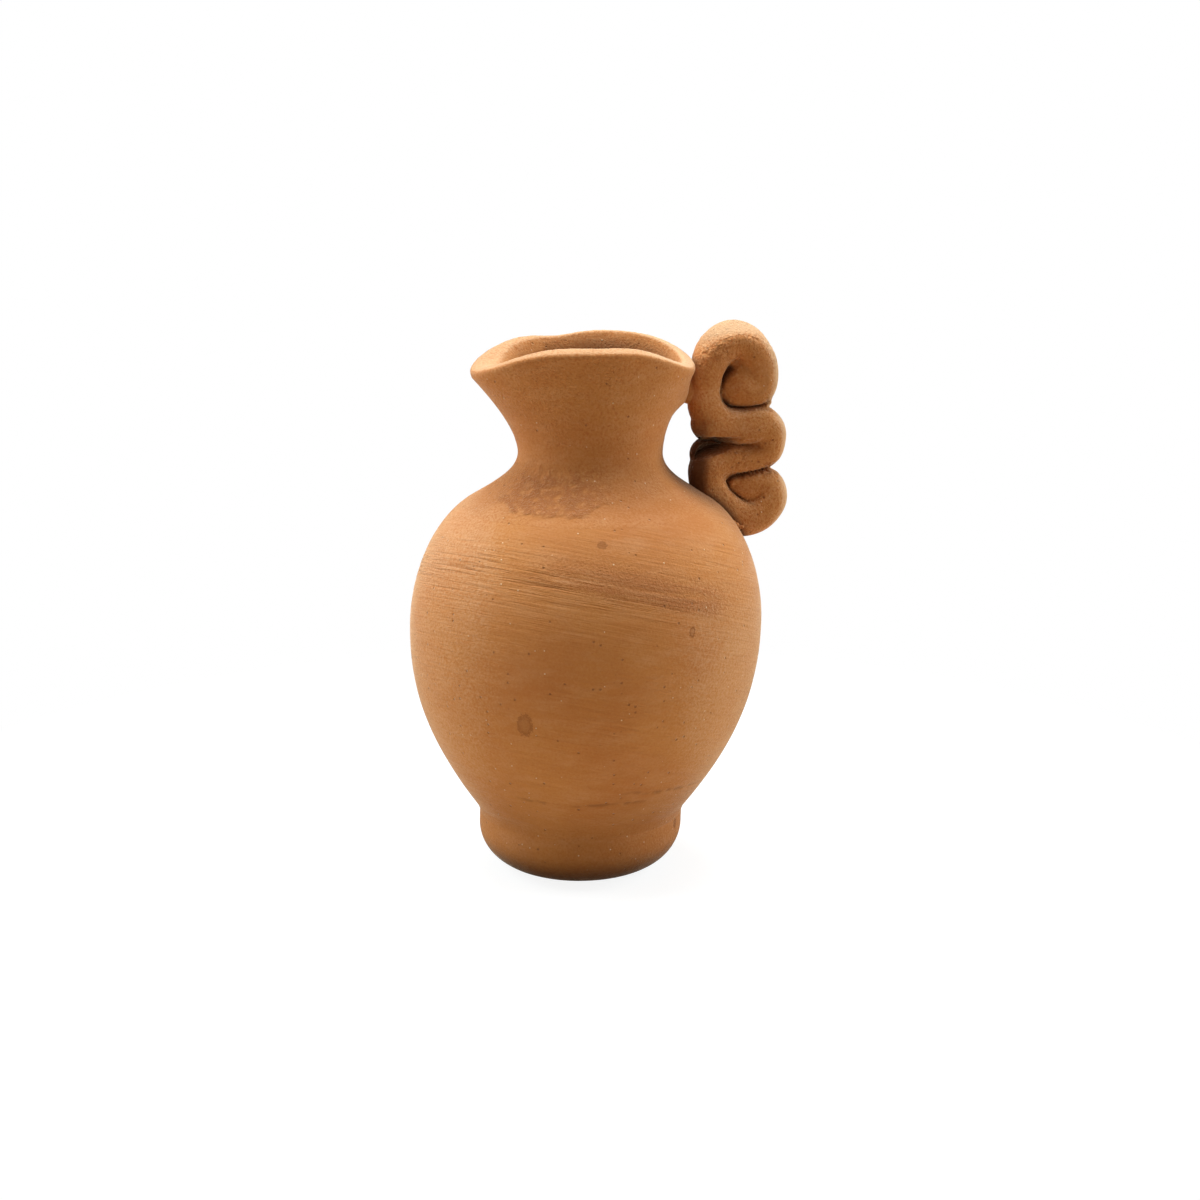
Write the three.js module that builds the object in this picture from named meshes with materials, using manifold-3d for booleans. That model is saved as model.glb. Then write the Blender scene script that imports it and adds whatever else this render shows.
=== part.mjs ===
// A miniature one-handled jug of unglazed terracotta, put together as a potter does it: a foot pad,
// a thrown belly and a thrown neck with a pinched pouring mouth, luted with slip, and a rolled coil
// folded into a handle. Millimetres, +Z up. The origin is on the table under the middle of the jug,
// and the pouring lip points to -X.

import * as THREE from "three";
import { mergeVertices } from "three/addons/utils/BufferGeometryUtils.js";
import Module from "manifold-3d";

const wasm = await Module();
wasm.setup();

// Foot: a bun-shaped pad with a flat underside, set in a little from the edge of the belly above it.
const FOOT_SET_IN = 0.1;
const FOOT_FLAT_RADIUS = 8;
const FOOT_EDGE_HEIGHT = 6.2;
const FOOT_HEIGHT = 8.8;
const FOOT_TOP_ROUND = 0.6;
const FOOT_SHIFT = -0.4;

// Thrown profile: radii, heights from station to station, slopes from the vertical in degrees.
const BELLY_BASE_RADIUS = 14.8;
const BELLY_BASE_SLOPE = 35.5;
const BELLY_LOWER_HEIGHT = 26.9;
const BELLY_RADIUS = 25;
const BELLY_UPPER_HEIGHT = 17.3;
const SHOULDER_RADIUS = 17.3;
const SHOULDER_SLOPE = 58;
const NECK_RISE = 7;
const NECK_RADIUS = 10.1;
const LIP_RISE = 12;
const LIP_RADIUS = 13.9;
const LIP_SLOPE = 24;

// Fullness of each curve at its two ends, as a share of the distance between the stations.
const LOWER_FULLNESS = [0.37, 0.375];
const UPPER_FULLNESS = [0.444, 0.243];
const SHOULDER_FULLNESS = [0.43, 0.29];
const NECK_FULLNESS = [0.28, 0.32];

// Walls and joints.
const BELLY_WALL = 3.2;
const LIP_WALL = 2.3;
const FLOOR_THICKNESS = 3.6;
const FLOOR_ROUND = 4;
const NECK_SEAT_RISE = 3.6;
const SLIP_THICKNESS = 0.5;
const FOOT_SLIP_RECESS = 0.4;
const NECK_SLIP_PROUD = 0.2;
const LUTING_GAP = 0.3;

// Mouth: drawn out to the lip and the handle, pinched at front and back, the pinched sides standing higher.
const MOUTH_OVAL = 1.8;
const MOUTH_POUR = 1;
const MOUTH_SADDLE = 2;
const MOUTH_CREST = 4;
const MOUTH_SKEW = 8;
const MOUTH_DRAW = 1.4;

// Handle: one rolled coil, folded in its own upright plane, which is turned about the jug's axis.
const HANDLE_AZIMUTH = 14;
const COIL_RADIUS = 2.6;
const COIL_HEAD_RADIUS = 2.95;
const COIL_TIP_RADIUS = 2.45;
const RIM_PRESS = 0.4;
const UPPER_CURL_RADIUS = 3.3;
const UPPER_CURL_DROP = 0.4;
const UPPER_CURL_END = -10;
const UPPER_CURL_LAP = 20;
const UPPER_END_DROP = 2.4;
const UPPER_TIP_REACH = 0.4;
const UPPER_TIP_DROP = 3.4;
const BEND_RADIUS = 3.4;
const BEND_DROP = 5.2;
const FOLD_REACH = 4.2;
const FOLD_BULGE = 1.4;
const FOLD_BULGE_INSET = 1.05;
const FOLD_STEP = 4.2;
const SHOULDER_PRESS = 1.5;
const LOWER_BEND_RUN = 0.4;
const LOWER_BEND_STEP = 3.6;
const LOWER_CURL_RADIUS = 2.8;
const LOWER_CURL_RUN = 6.1;
const LOWER_CURL_END = 50;
const LOWER_CURL_LAP = 15;
const LOWER_TIP_REACH = 1.5;
const LOWER_TIP_RISE = 1.9;

// Wads of clay pressed into the two corners between the coil and the vessel.
// Half sizes outward, across and upward.
const RIM_WAD = [2.2, 2.6, 2.8];
const RIM_WAD_DROP = 3.6;
const SHOULDER_WAD = [2.8, 3.6, 2.2];
const SHOULDER_WAD_RUN = 2.9;
const SHOULDER_WAD_LIFT = 0.7;

// The whole jug leans towards the handle: sideways shift for each unit of height.
const LEAN = 0.025;

// Fineness of the round surfaces.
const TURN_STEPS = 48;
const WALL_STEPS = 6;
const ROUND_STEPS = 4;
const COIL_SIDES = 14;
const COIL_ROWS_PER_RADIUS = 2;
const ARC_STEP = 23;
const WAD_SIDES = 20;
const WAD_ROWS = 12;
const MERGE_DISTANCE = 0.0001;

const TERRACOTTA = { color: 0xb9784a, roughness: 0.95, metalness: 0 };
const SMEARED_SLIP = { color: 0xa8683e, roughness: 1, metalness: 0 };

const { degToRad } = THREE.MathUtils;

// The foot and its seat follow the belly's base.
const FOOT_RADIUS = BELLY_BASE_RADIUS - FOOT_SET_IN;
const FOOT_SEAT_RADIUS = FOOT_RADIUS - FOOT_TOP_ROUND;

// Heights of the stations above the table.
const BELLY_BASE_Z = FOOT_HEIGHT + SLIP_THICKNESS;
const BELLY_Z = BELLY_BASE_Z + BELLY_LOWER_HEIGHT;
const SHOULDER_Z = BELLY_Z + BELLY_UPPER_HEIGHT;
const NECK_SEAT_Z = SHOULDER_Z + NECK_SEAT_RISE;
const NECK_BASE_Z = NECK_SEAT_Z + SLIP_THICKNESS;
const NECK_Z = SHOULDER_Z + NECK_RISE;
const LIP_Z = NECK_Z + LIP_RISE;
const FLOOR_Z = BELLY_BASE_Z + FLOOR_THICKNESS;

// Profile points: x is the distance from the axis, y the height.
function point(radius, height) {
  return new THREE.Vector2(radius, height);
}

// Unit step along a line that leans outward from the vertical by the given degrees.
function along(slope) {
  return point(Math.sin(degToRad(slope)), Math.cos(degToRad(slope)));
}

// One smooth stretch of the profile between two stations.
function stretch(start, startSlope, end, endSlope, fullness) {
  const span = start.distanceTo(end);
  const leave = along(startSlope).multiplyScalar(span * fullness[0]).add(start);
  const arrive = along(endSlope).multiplyScalar(-span * fullness[1]).add(end);
  return new THREE.CubicBezierCurve(start, leave, arrive, end).getPoints(WALL_STEPS);
}

// The outside of belly and neck, from the crease over the foot up to the outer edge of the lip.
function outerWall() {
  const base = point(BELLY_BASE_RADIUS, BELLY_BASE_Z);
  const widest = point(BELLY_RADIUS, BELLY_Z);
  const shoulder = point(SHOULDER_RADIUS, SHOULDER_Z);
  const waist = point(NECK_RADIUS, NECK_Z);
  const lip = point(LIP_RADIUS, LIP_Z);
  return [
    ...stretch(base, BELLY_BASE_SLOPE, widest, 0, LOWER_FULLNESS),
    ...stretch(widest, 0, shoulder, -SHOULDER_SLOPE, UPPER_FULLNESS).slice(1),
    ...stretch(shoulder, -SHOULDER_SLOPE, waist, 0, SHOULDER_FULLNESS).slice(1),
    ...stretch(waist, 0, lip, LIP_SLOPE, NECK_FULLNESS).slice(1),
  ];
}

// The same line moved along its outward normals by a distance that may depend on the height.
function moved(line, distanceAt) {
  return line.map((at, index) => {
    const before = line[Math.max(index - 1, 0)];
    const after = line[Math.min(index + 1, line.length - 1)];
    const outward = point(after.y - before.y, before.x - after.x).normalize();
    return at.clone().addScaledVector(outward, distanceAt(at.y));
  });
}

// Where a rising line crosses a height.
function crossing(line, height) {
  const next = line.findIndex((at) => at.y >= height);
  const upper = line[next];
  const lower = line[next - 1];
  return lower.clone().lerp(upper, (height - lower.y) / (upper.y - lower.y));
}

// The part of a rising line between two heights.
function between(line, low, high) {
  const inside = line.filter((at) => at.y > low && at.y < high);
  return [crossing(line, low), ...inside, crossing(line, high)];
}

function wallAt(height) {
  return THREE.MathUtils.mapLinear(height, BELLY_BASE_Z, LIP_Z, BELLY_WALL, LIP_WALL);
}

const outer = outerWall();
const inner = moved(outer, (height) => -wallAt(height));

// Half turn of the rounded lip from the outer wall over to the inner wall.
function lipArc(start, end) {
  const middle = start.clone().lerp(end, 0.5);
  const radius = start.distanceTo(end) / 2;
  const angle = start.clone().sub(middle).angle();
  const arc = new THREE.EllipseCurve(middle.x, middle.y, radius, radius, angle, angle + Math.PI);
  return arc.getPoints(WALL_STEPS).slice(1, -1);
}

// Geometry with only merged positions, without the collapsed triangles on the axis.
function closed(geometry) {
  const bare = new THREE.BufferGeometry();
  bare.setAttribute("position", geometry.attributes.position);
  bare.setIndex(geometry.index);
  const merged = mergeVertices(bare, MERGE_DISTANCE);
  const kept = [];
  for (let corner = 0; corner < merged.index.count; corner += 3) {
    const [a, b, c] = merged.index.array.slice(corner, corner + 3);
    if (a !== b && b !== c && c !== a) {
      kept.push(a, b, c);
    }
  }
  merged.setIndex(kept);
  return merged;
}

// A profile turned about the upright axis.
function turned(profile) {
  const geometry = new THREE.LatheGeometry(profile, TURN_STEPS);
  geometry.rotateX(Math.PI / 2);
  return closed(geometry);
}

// Outward draw of the mouth at an angle about the axis, zero on the handle's side.
function mouthDraw(angle) {
  return MOUTH_OVAL * Math.cos(2 * angle) - MOUTH_POUR * Math.cos(angle);
}

// Rise of the mouth at the same angle: broad crests at front and back, dips at the lip and the handle.
function mouthRise(angle) {
  const skewed = angle + degToRad(MOUTH_SKEW) * Math.cos(angle);
  return MOUTH_SADDLE * (1 - 2 * Math.cos(skewed) ** MOUTH_CREST);
}

// The round mouth pinched into its oval saddle, from nothing at the waist to the full shape at the lip.
function pinched(geometry) {
  const positions = geometry.attributes.position;
  const at = new THREE.Vector3();
  for (let index = 0; index < positions.count; index += 1) {
    at.fromBufferAttribute(positions, index);
    const radius = Math.hypot(at.x, at.y);
    const angle = Math.atan2(at.y, at.x);
    const share = THREE.MathUtils.clamp((at.z - NECK_Z) / LIP_RISE, 0, 1) ** MOUTH_DRAW;
    const wide = radius > 0 ? radius + share * mouthDraw(angle) : 0;
    const high = at.z + share * mouthRise(angle);
    positions.setXYZ(index, wide * Math.cos(angle), wide * Math.sin(angle), high);
  }
  return geometry;
}

function solid(geometry) {
  const vertProperties = new Float32Array(geometry.attributes.position.array);
  const triVerts = new Uint32Array(geometry.index.array);
  return new wasm.Manifold(new wasm.Mesh({ numProp: 3, vertProperties, triVerts }));
}

function geometryOf(manifold) {
  const mesh = manifold.getMesh();
  const geometry = new THREE.BufferGeometry();
  geometry.setAttribute("position", new THREE.BufferAttribute(mesh.vertProperties, 3));
  geometry.setIndex(new THREE.BufferAttribute(mesh.triVerts, 1));
  return geometry;
}

// Foot pad: flat underside, elliptic lower edge, flat seat on top.
function footGeometry() {
  const edgeWidth = FOOT_RADIUS - FOOT_FLAT_RADIUS;
  const lowerEdge = new THREE.EllipseCurve(
    FOOT_FLAT_RADIUS, FOOT_EDGE_HEIGHT, edgeWidth, FOOT_EDGE_HEIGHT, -Math.PI / 2, 0);
  const seatEdgeHeight = FOOT_HEIGHT - FOOT_TOP_ROUND;
  const upperEdge = new THREE.EllipseCurve(
    FOOT_SEAT_RADIUS, seatEdgeHeight, FOOT_TOP_ROUND, FOOT_TOP_ROUND, 0, Math.PI / 2);
  return turned([
    point(0, 0),
    ...lowerEdge.getPoints(WALL_STEPS),
    ...upperEdge.getPoints(ROUND_STEPS),
    point(0, FOOT_HEIGHT),
  ]);
}

// Disc of slip between foot and belly, set back so that the joint shows as a crease.
function footSlipGeometry() {
  const radius = FOOT_SEAT_RADIUS - FOOT_SLIP_RECESS;
  return turned([
    point(0, FOOT_HEIGHT),
    point(radius, FOOT_HEIGHT),
    point(radius, BELLY_BASE_Z),
    point(0, BELLY_BASE_Z),
  ]);
}

// Belly: hollow bowl with a rounded floor, drawn in to the shoulder and cut level for the neck.
function bellyGeometry() {
  const side = between(inner, FLOOR_Z + FLOOR_ROUND, NECK_SEAT_Z).reverse();
  const corner = point(crossing(inner, FLOOR_Z).x, FLOOR_Z);
  const flat = point(corner.x - FLOOR_ROUND, FLOOR_Z);
  const floor = new THREE.QuadraticBezierCurve(side.at(-1), corner, flat);
  return turned([
    point(0, BELLY_BASE_Z),
    ...outer.filter((at) => at.y < NECK_SEAT_Z),
    crossing(outer, NECK_SEAT_Z),
    ...side,
    ...floor.getPoints(ROUND_STEPS).slice(1),
    point(0, FLOOR_Z),
  ]);
}

// Ring of slip between the belly's opening and the neck, squeezed out a little.
function neckSlipGeometry() {
  const lower = crossing(outer, NECK_SEAT_Z);
  const upper = crossing(outer, NECK_BASE_Z);
  const squeezed = lower.clone().lerp(upper, 0.5).add(point(NECK_SLIP_PROUD, 0));
  const start = crossing(inner, NECK_SEAT_Z);
  return turned([start, lower, squeezed, upper, crossing(inner, NECK_BASE_Z), start.clone()]);
}

// Neck: thrown collar that flares from its waist to the pinched mouth.
function neckGeometry() {
  const outside = [crossing(outer, NECK_BASE_Z), ...outer.filter((at) => at.y > NECK_BASE_Z)];
  const inside = [crossing(inner, NECK_BASE_Z), ...inner.filter((at) => at.y > NECK_BASE_Z)].reverse();
  const lip = lipArc(outside.at(-1), inside[0]);
  return pinched(turned([...outside, ...lip, ...inside, outside[0].clone()]));
}

// Everything inside the vessel's outer skin, grown by the luting gap: the coil and the wads are cut by it.
function vesselGuard() {
  const skin = moved(outer, () => LUTING_GAP);
  const rim = lipArc(skin.at(-1), inner.at(-1));
  const profile = [point(0, skin[0].y), ...skin, ...rim, point(0, rim.at(-1).y)];
  return solid(pinched(turned(profile)));
}

// A point of the handle's plane: distance from the axis and height.
function planePoint(distance, height) {
  return new THREE.Vector3(distance, 0, height);
}

// Points on an arc of the handle's plane, angles in degrees up from the outward direction.
function arcPoints(centre, radius, from, to) {
  const count = Math.max(1, Math.round(Math.abs(to - from) / ARC_STEP));
  return Array.from({ length: count + 1 }, (unused, index) => {
    const angle = degToRad(from + ((to - from) * index) / count);
    return planePoint(centre.x + radius * Math.cos(angle), centre.z + radius * Math.sin(angle));
  });
}

// A length of rolled coil with round ends, laid along points of the handle's plane.
function coil(points, startRadius, endRadius) {
  const path = new THREE.CatmullRomCurve3(points);
  const rows = Math.max(2, Math.round((path.getLength() * COIL_ROWS_PER_RADIUS) / endRadius));
  const geometry = new THREE.CapsuleGeometry(1, rows, ROUND_STEPS, COIL_SIDES, rows);
  const positions = geometry.attributes.position;
  const across = new THREE.Vector3(0, 1, 0);
  const at = new THREE.Vector3();
  for (let index = 0; index < positions.count; index += 1) {
    at.fromBufferAttribute(positions, index);
    const row = THREE.MathUtils.clamp(at.y, -rows / 2, rows / 2);
    const share = row / rows + 0.5;
    const radius = THREE.MathUtils.lerp(startRadius, endRadius, share);
    const forward = path.getTangentAt(share);
    const sideways = new THREE.Vector3().crossVectors(forward, across);
    const place = path.getPointAt(share);
    place.addScaledVector(sideways, at.x * radius);
    place.addScaledVector(forward, (at.y - row) * radius);
    place.addScaledVector(across, at.z * radius);
    positions.setXYZ(index, place.x, place.y, place.z);
  }
  geometry.rotateZ(degToRad(HANDLE_AZIMUTH));
  return solid(closed(geometry));
}

// Stations of the folded coil, hung on the lip above and pressed on the shoulder below.
function handleStations() {
  const rim = LIP_RADIUS + mouthDraw(degToRad(HANDLE_AZIMUTH));
  const upright = rim + COIL_HEAD_RADIUS - RIM_PRESS;
  const upper = planePoint(upright + UPPER_CURL_RADIUS, LIP_Z - UPPER_CURL_DROP);
  const bend = planePoint(upright + BEND_RADIUS, upper.z - BEND_DROP);
  const fold = planePoint(upper.x + FOLD_REACH, bend.z - BEND_RADIUS);
  const seat = planePoint(SHOULDER_RADIUS, SHOULDER_Z);
  const downhill = planePoint(Math.sin(degToRad(SHOULDER_SLOPE)), -Math.cos(degToRad(SHOULDER_SLOPE)));
  const outward = planePoint(-downhill.z, downhill.x);
  const onShoulder = (run, lift) => {
    return seat.clone().addScaledVector(downhill, run).addScaledVector(outward, lift);
  };
  const lowerBend = onShoulder(-LOWER_BEND_RUN, COIL_RADIUS - SHOULDER_PRESS);
  const lower = onShoulder(LOWER_CURL_RUN, LOWER_CURL_RADIUS);
  const corner = onShoulder(-SHOULDER_WAD_RUN, SHOULDER_WAD_LIFT);
  return { rim, upper, bend, fold, lowerBend, lower, corner };
}

const stations = handleStations();

// The coil in seven lengths from its upper to its lower end, each thicker all round by the given amount.
function coilLengths(grow) {
  const { upper, bend, fold, lowerBend, lower } = stations;
  const upperEnd = planePoint(upper.x + UPPER_CURL_RADIUS, upper.z - UPPER_END_DROP);
  const upperTip = planePoint(upper.x + UPPER_TIP_REACH, upper.z - UPPER_TIP_DROP);
  const foldBack = planePoint(fold.x, fold.z - FOLD_STEP);
  const bulgeTop = planePoint(fold.x + FOLD_BULGE, fold.z - FOLD_BULGE_INSET);
  const bulgeLow = planePoint(fold.x + FOLD_BULGE, foldBack.z + FOLD_BULGE_INSET);
  const bendIn = planePoint(lowerBend.x, lowerBend.z + LOWER_BEND_STEP);
  const lowerTip = planePoint(lower.x - LOWER_TIP_REACH, lower.z + LOWER_TIP_RISE);
  const upperLap = UPPER_CURL_END + UPPER_CURL_LAP;
  const upperCurl = arcPoints(upper, UPPER_CURL_RADIUS, UPPER_CURL_END, 180);
  const upperReturn = [...arcPoints(upper, UPPER_CURL_RADIUS, upperLap, UPPER_CURL_END), upperEnd, upperTip];
  const bendOut = arcPoints(bend, BEND_RADIUS, 180, 270);
  const lowerCurl = arcPoints(lower, LOWER_CURL_RADIUS, SHOULDER_SLOPE - 180, 0);
  const lowerReturn = [...arcPoints(lower, LOWER_CURL_RADIUS, -LOWER_CURL_LAP, LOWER_CURL_END), lowerTip];
  const head = COIL_HEAD_RADIUS + grow;
  const body = COIL_RADIUS + grow;
  const tip = COIL_TIP_RADIUS + grow;
  return [
    coil(upperReturn, body, body),
    coil([...upperCurl, ...bendOut, fold], head, body),
    coil([bulgeTop, bulgeLow], body, tip),
    coil([foldBack, bendIn], tip, tip),
    coil([bendIn, lowerBend], head, head),
    coil([lowerBend, ...lowerCurl], tip, body),
    coil(lowerReturn, tip, tip),
  ];
}

function joined(solids) {
  return solids.reduce((whole, next) => whole.add(next));
}

// A wad of clay: a squashed ball in the handle's plane, trimmed by the vessel and by the coil.
function wad(centre, halfSizes, guard, coilGuard) {
  const ball = new THREE.SphereGeometry(1, WAD_SIDES, WAD_ROWS);
  ball.scale(...halfSizes);
  ball.translate(centre.x, centre.y, centre.z);
  ball.rotateZ(degToRad(HANDLE_AZIMUTH));
  return solid(closed(ball)).subtract(guard).subtract(coilGuard);
}

// The leaning jug: every piece is sheared alike, so level joints stay level.
const lean = new THREE.Matrix4().set(1, 0, LEAN, 0, 0, 1, 0, 0, 0, 0, 1, 0, 0, 0, 0, 1);
const jug = new THREE.Group();

function addPiece(name, geometry, finish) {
  geometry.applyMatrix4(lean);
  geometry.computeVertexNormals();
  const mesh = new THREE.Mesh(geometry, new THREE.MeshStandardMaterial(finish));
  mesh.name = name;
  jug.add(mesh);
  return mesh;
}

const guard = vesselGuard();
const coilGuard = joined(coilLengths(LUTING_GAP));
const rimCorner = planePoint(stations.rim, LIP_Z - RIM_WAD_DROP);

const foot = addPiece("foot", footGeometry(), TERRACOTTA);
foot.position.x = FOOT_SHIFT;
addPiece("foot_slip", footSlipGeometry(), SMEARED_SLIP);
addPiece("belly", bellyGeometry(), TERRACOTTA);
addPiece("neck_slip", neckSlipGeometry(), SMEARED_SLIP);
addPiece("neck", neckGeometry(), TERRACOTTA);
addPiece("handle_coil", geometryOf(joined(coilLengths(0)).subtract(guard)), TERRACOTTA);
addPiece("rim_wad", geometryOf(wad(rimCorner, RIM_WAD, guard, coilGuard)), SMEARED_SLIP);
addPiece("shoulder_wad", geometryOf(wad(stations.corner, SHOULDER_WAD, guard, coilGuard)), SMEARED_SLIP);

export default jug;
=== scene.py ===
"""A miniature terracotta jug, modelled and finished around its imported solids.

Laid out as an add-on and run as a script. Metres, +Z up, the pouring lip towards -X.
"""

import math

import bmesh
import bpy
from bpy.props import FloatProperty, FloatVectorProperty, PointerProperty
from mathutils import Matrix, Vector, noise
from mathutils.geometry import interpolate_bezier
from mathutils.kdtree import KDTree


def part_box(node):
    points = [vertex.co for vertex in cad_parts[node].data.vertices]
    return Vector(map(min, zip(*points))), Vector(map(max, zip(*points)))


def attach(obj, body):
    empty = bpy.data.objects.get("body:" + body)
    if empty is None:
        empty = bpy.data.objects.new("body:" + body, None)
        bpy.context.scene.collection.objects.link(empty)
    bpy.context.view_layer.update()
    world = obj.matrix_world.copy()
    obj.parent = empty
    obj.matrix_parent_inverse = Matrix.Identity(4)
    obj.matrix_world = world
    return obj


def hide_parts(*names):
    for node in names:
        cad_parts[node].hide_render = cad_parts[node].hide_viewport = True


bl_info = {
    "name": "Miniature Terracotta Jug",
    "version": (1, 0, 0),
    "blender": (4, 5, 0),
    "location": "3D Viewport > Sidebar > Jug",
    "description": "Models a small hand-made jug over its solids and gives it a fired clay finish",
    "category": "Object",
}

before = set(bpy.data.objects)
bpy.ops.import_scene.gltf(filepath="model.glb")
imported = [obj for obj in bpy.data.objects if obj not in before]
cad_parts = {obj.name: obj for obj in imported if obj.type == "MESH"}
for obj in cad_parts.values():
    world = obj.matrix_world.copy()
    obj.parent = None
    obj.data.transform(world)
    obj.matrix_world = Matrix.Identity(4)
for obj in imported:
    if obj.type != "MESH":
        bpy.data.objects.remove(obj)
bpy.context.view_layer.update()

MM = 0.001
BODY = "root"
WELD = 1e-7
# The tilt of lines that run level round the jug.
LEVEL = (0.0, 0.0, 1.0)

# Rows of faces up each stretch of the wall, and faces round the jug.
BELLY_SIDES = 248
NECK_SIDES = 320
LOWER_ROWS = 120
UPPER_ROWS = 160
SHOULDER_ROWS = 60
NECK_ROWS = 72
INNER_STEP = 6
LIP_ROWS = 28
ROUND_ROWS = 14

# Fullness of each stretch of the wall at its two ends, as a share of its span.
LOWER_FULLNESS = (0.4, 0.375)
UPPER_FULLNESS = (0.444, 0.243)
SHOULDER_FULLNESS = (0.43, 0.29)
NECK_FULLNESS = (0.28, 0.32)
LIP_SQUARENESS = 3.2
SPOUT_SMOOTHING = 50


def length(name, description, default):
    return FloatProperty(name=name, description=description, default=default, unit="LENGTH", precision=5)


def slope(name, description, degrees):
    default = math.radians(degrees)
    return FloatProperty(name=name, description=description, default=default, subtype="ANGLE")


def share(name, description, default):
    return FloatProperty(name=name, description=description, default=default, subtype="FACTOR")


def colour(name, description, default):
    return FloatVectorProperty(
        name=name, description=description, default=(*default, 1.0), size=4, min=0.0, max=1.0,
        subtype="COLOR")


def half_depth(node):
    low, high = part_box(node)
    return (high.y - low.y) / 2


class JugForm(bpy.types.PropertyGroup):
    """Sizes of the thrown body."""

    foot_radius: length("Foot radius", "Widest radius of the foot pad", half_depth("foot"))
    foot_flat: length("Foot flat", "Radius of the flat underside", 8 * MM)
    foot_edge: length("Foot edge", "Height of the rounded lower edge", 6.2 * MM)
    foot_height: length("Foot height", "Height of the foot pad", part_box("foot")[1].z)
    base_radius: length("Base radius", "Radius of the belly over the foot", 15.0 * MM)
    base_height: length("Base height", "Underside of the belly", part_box("belly")[0].z)
    base_slope: slope("Base slope", "Outward slope of the belly over the foot", 36.5)
    belly_radius: length("Belly radius", "Widest radius of the belly", half_depth("belly"))
    belly_height: length("Belly height", "Height of the widest ring", 36.2 * MM)
    shoulder_radius: length("Shoulder radius", "Radius where the shoulder turns in", 17.3 * MM)
    shoulder_height: length("Shoulder height", "Height where the shoulder turns in", 53.5 * MM)
    shoulder_slope: slope("Shoulder slope", "Inward slope of the shoulder", 58)
    seat_height: length("Seat height", "Level cut that the neck sits on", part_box("belly")[1].z)
    neck_base: length("Neck base", "Underside of the neck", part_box("neck")[0].z)
    waist_radius: length("Waist radius", "Narrowest radius of the neck", 10.1 * MM)
    waist_height: length("Waist height", "Height of the narrowest ring", 60.5 * MM)
    lip_radius: length("Lip radius", "Mean radius of the mouth", 13.9 * MM)
    lip_height: length("Lip height", "Mean height of the mouth", 72.5 * MM)
    lip_slope: slope("Lip slope", "Outward slope of the lip", 24)
    belly_wall: length("Belly wall", "Thickness of the wall at the belly", 3.2 * MM)
    lip_wall: length("Lip wall", "Thickness of the wall at the lip", 2.3 * MM)
    floor_thickness: length("Floor thickness", "Thickness of the floor", 3.6 * MM)
    floor_round: length("Floor round", "Rounding between floor and wall", 4 * MM)
    lean: share("Lean", "Sideways shift for each unit of height", 0.025)


class JugMouth(bpy.types.PropertyGroup):
    """How the mouth is pinched."""

    oval: length("Oval", "Draw towards lip and handle, and pinch at the sides", 1.5 * MM)
    pour: length("Pour", "Extra draw of the pouring lip", 1.3 * MM)
    saddle: length("Saddle", "Rise of the pinched sides", 2 * MM)
    handle_rise: length("Handle rise", "How much higher the mouth stays at the handle", 1.0 * MM)
    spout_rise: length("Spout rise", "How much higher it stays at the pouring lip", 0.5 * MM)
    crest: FloatProperty(name="Crest", description="Breadth of the raised sides", default=4)
    skew: slope("Skew", "Turn of the raised sides towards the lip", 8)
    draw: FloatProperty(name="Draw", description="How late the pinch sets in up the neck", default=1.4)
    trough: length("Trough", "Extra thickness inside the pouring lip", 2.0 * MM)
    trough_reach: slope("Trough reach", "Half width of that thick part", 38)
    back_dip: length("Back dip", "Thumb dent in the rim behind the lip", 0.75 * MM)
    back_dip_azimuth: slope("Back dip azimuth", "Direction of that dent", 116)
    back_dip_reach: slope("Back dip reach", "Half width of that dent", 17)


class JugHandle(bpy.types.PropertyGroup):
    """The folded coil."""

    azimuth: slope("Azimuth", "Turn of the coil's plane from the pouring axis", 14)
    press: length("Press", "Half thickness of the coil where fingers pressed it flat", 2.5 * MM)
    squareness: share("Squareness", "How square the pressed coil is: 1 is round", 0.9)
    voxel: length("Voxel", "Fineness of the kneaded surface", 0.13 * MM)


class JugMarks(bpy.types.PropertyGroup):
    """Traces of the making."""

    swell: length("Swell", "Unevenness of the hand-made wall", 0.12 * MM)
    drag: length("Drag", "Depth of the tool marks on the shoulder", 0.08 * MM)
    score: length("Score", "Depth of the lines above the foot", 0.12 * MM)
    smear: length("Smear", "Thickness of the slip smeared round the neck", 0.16 * MM)


class JugColours(bpy.types.PropertyGroup):
    """Colours of the fired clay."""

    body: colour("Terracotta", "Main colour of the fired clay", (0.505, 0.195, 0.055))
    deep: colour("Iron-rich", "Redder clouds in the clay", (0.43, 0.138, 0.038))
    pale: colour("Pale", "Pale bloom on the surface", (0.60, 0.285, 0.125))
    slip: colour("Slip", "Smeared slip round the joints", (0.41, 0.142, 0.042))
    sand: colour("Sand", "Grains of pale sand", (0.80, 0.58, 0.36))
    # The colour of painted shade, in pits, grooves, creases, gaps, corners and inside the mouth.
    painted_shade: colour("Pits", "Shadowed pits", (0.09, 0.03, 0.01))
    iron: colour("Iron", "Iron spots", (0.26, 0.085, 0.022))
    # The pale colour of painted highlight, for the tops and sides that catch the light.
    painted_highlight: colour("Bloom", "Pale bloom where the clay dried first", (0.63, 0.35, 0.185))


def upright(radius, height):
    return Vector((radius, 0, height))


def along(angle):
    return Vector((math.sin(angle), 0, math.cos(angle)))


def stretch(start, start_slope, end, end_slope, fullness, rows):
    """One smooth stretch of the wall between two stations."""
    span = (end - start).length
    leave = start + along(start_slope) * span * fullness[0]
    arrive = end - along(end_slope) * span * fullness[1]
    return interpolate_bezier(start, leave, arrive, end, rows + 1)


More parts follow.
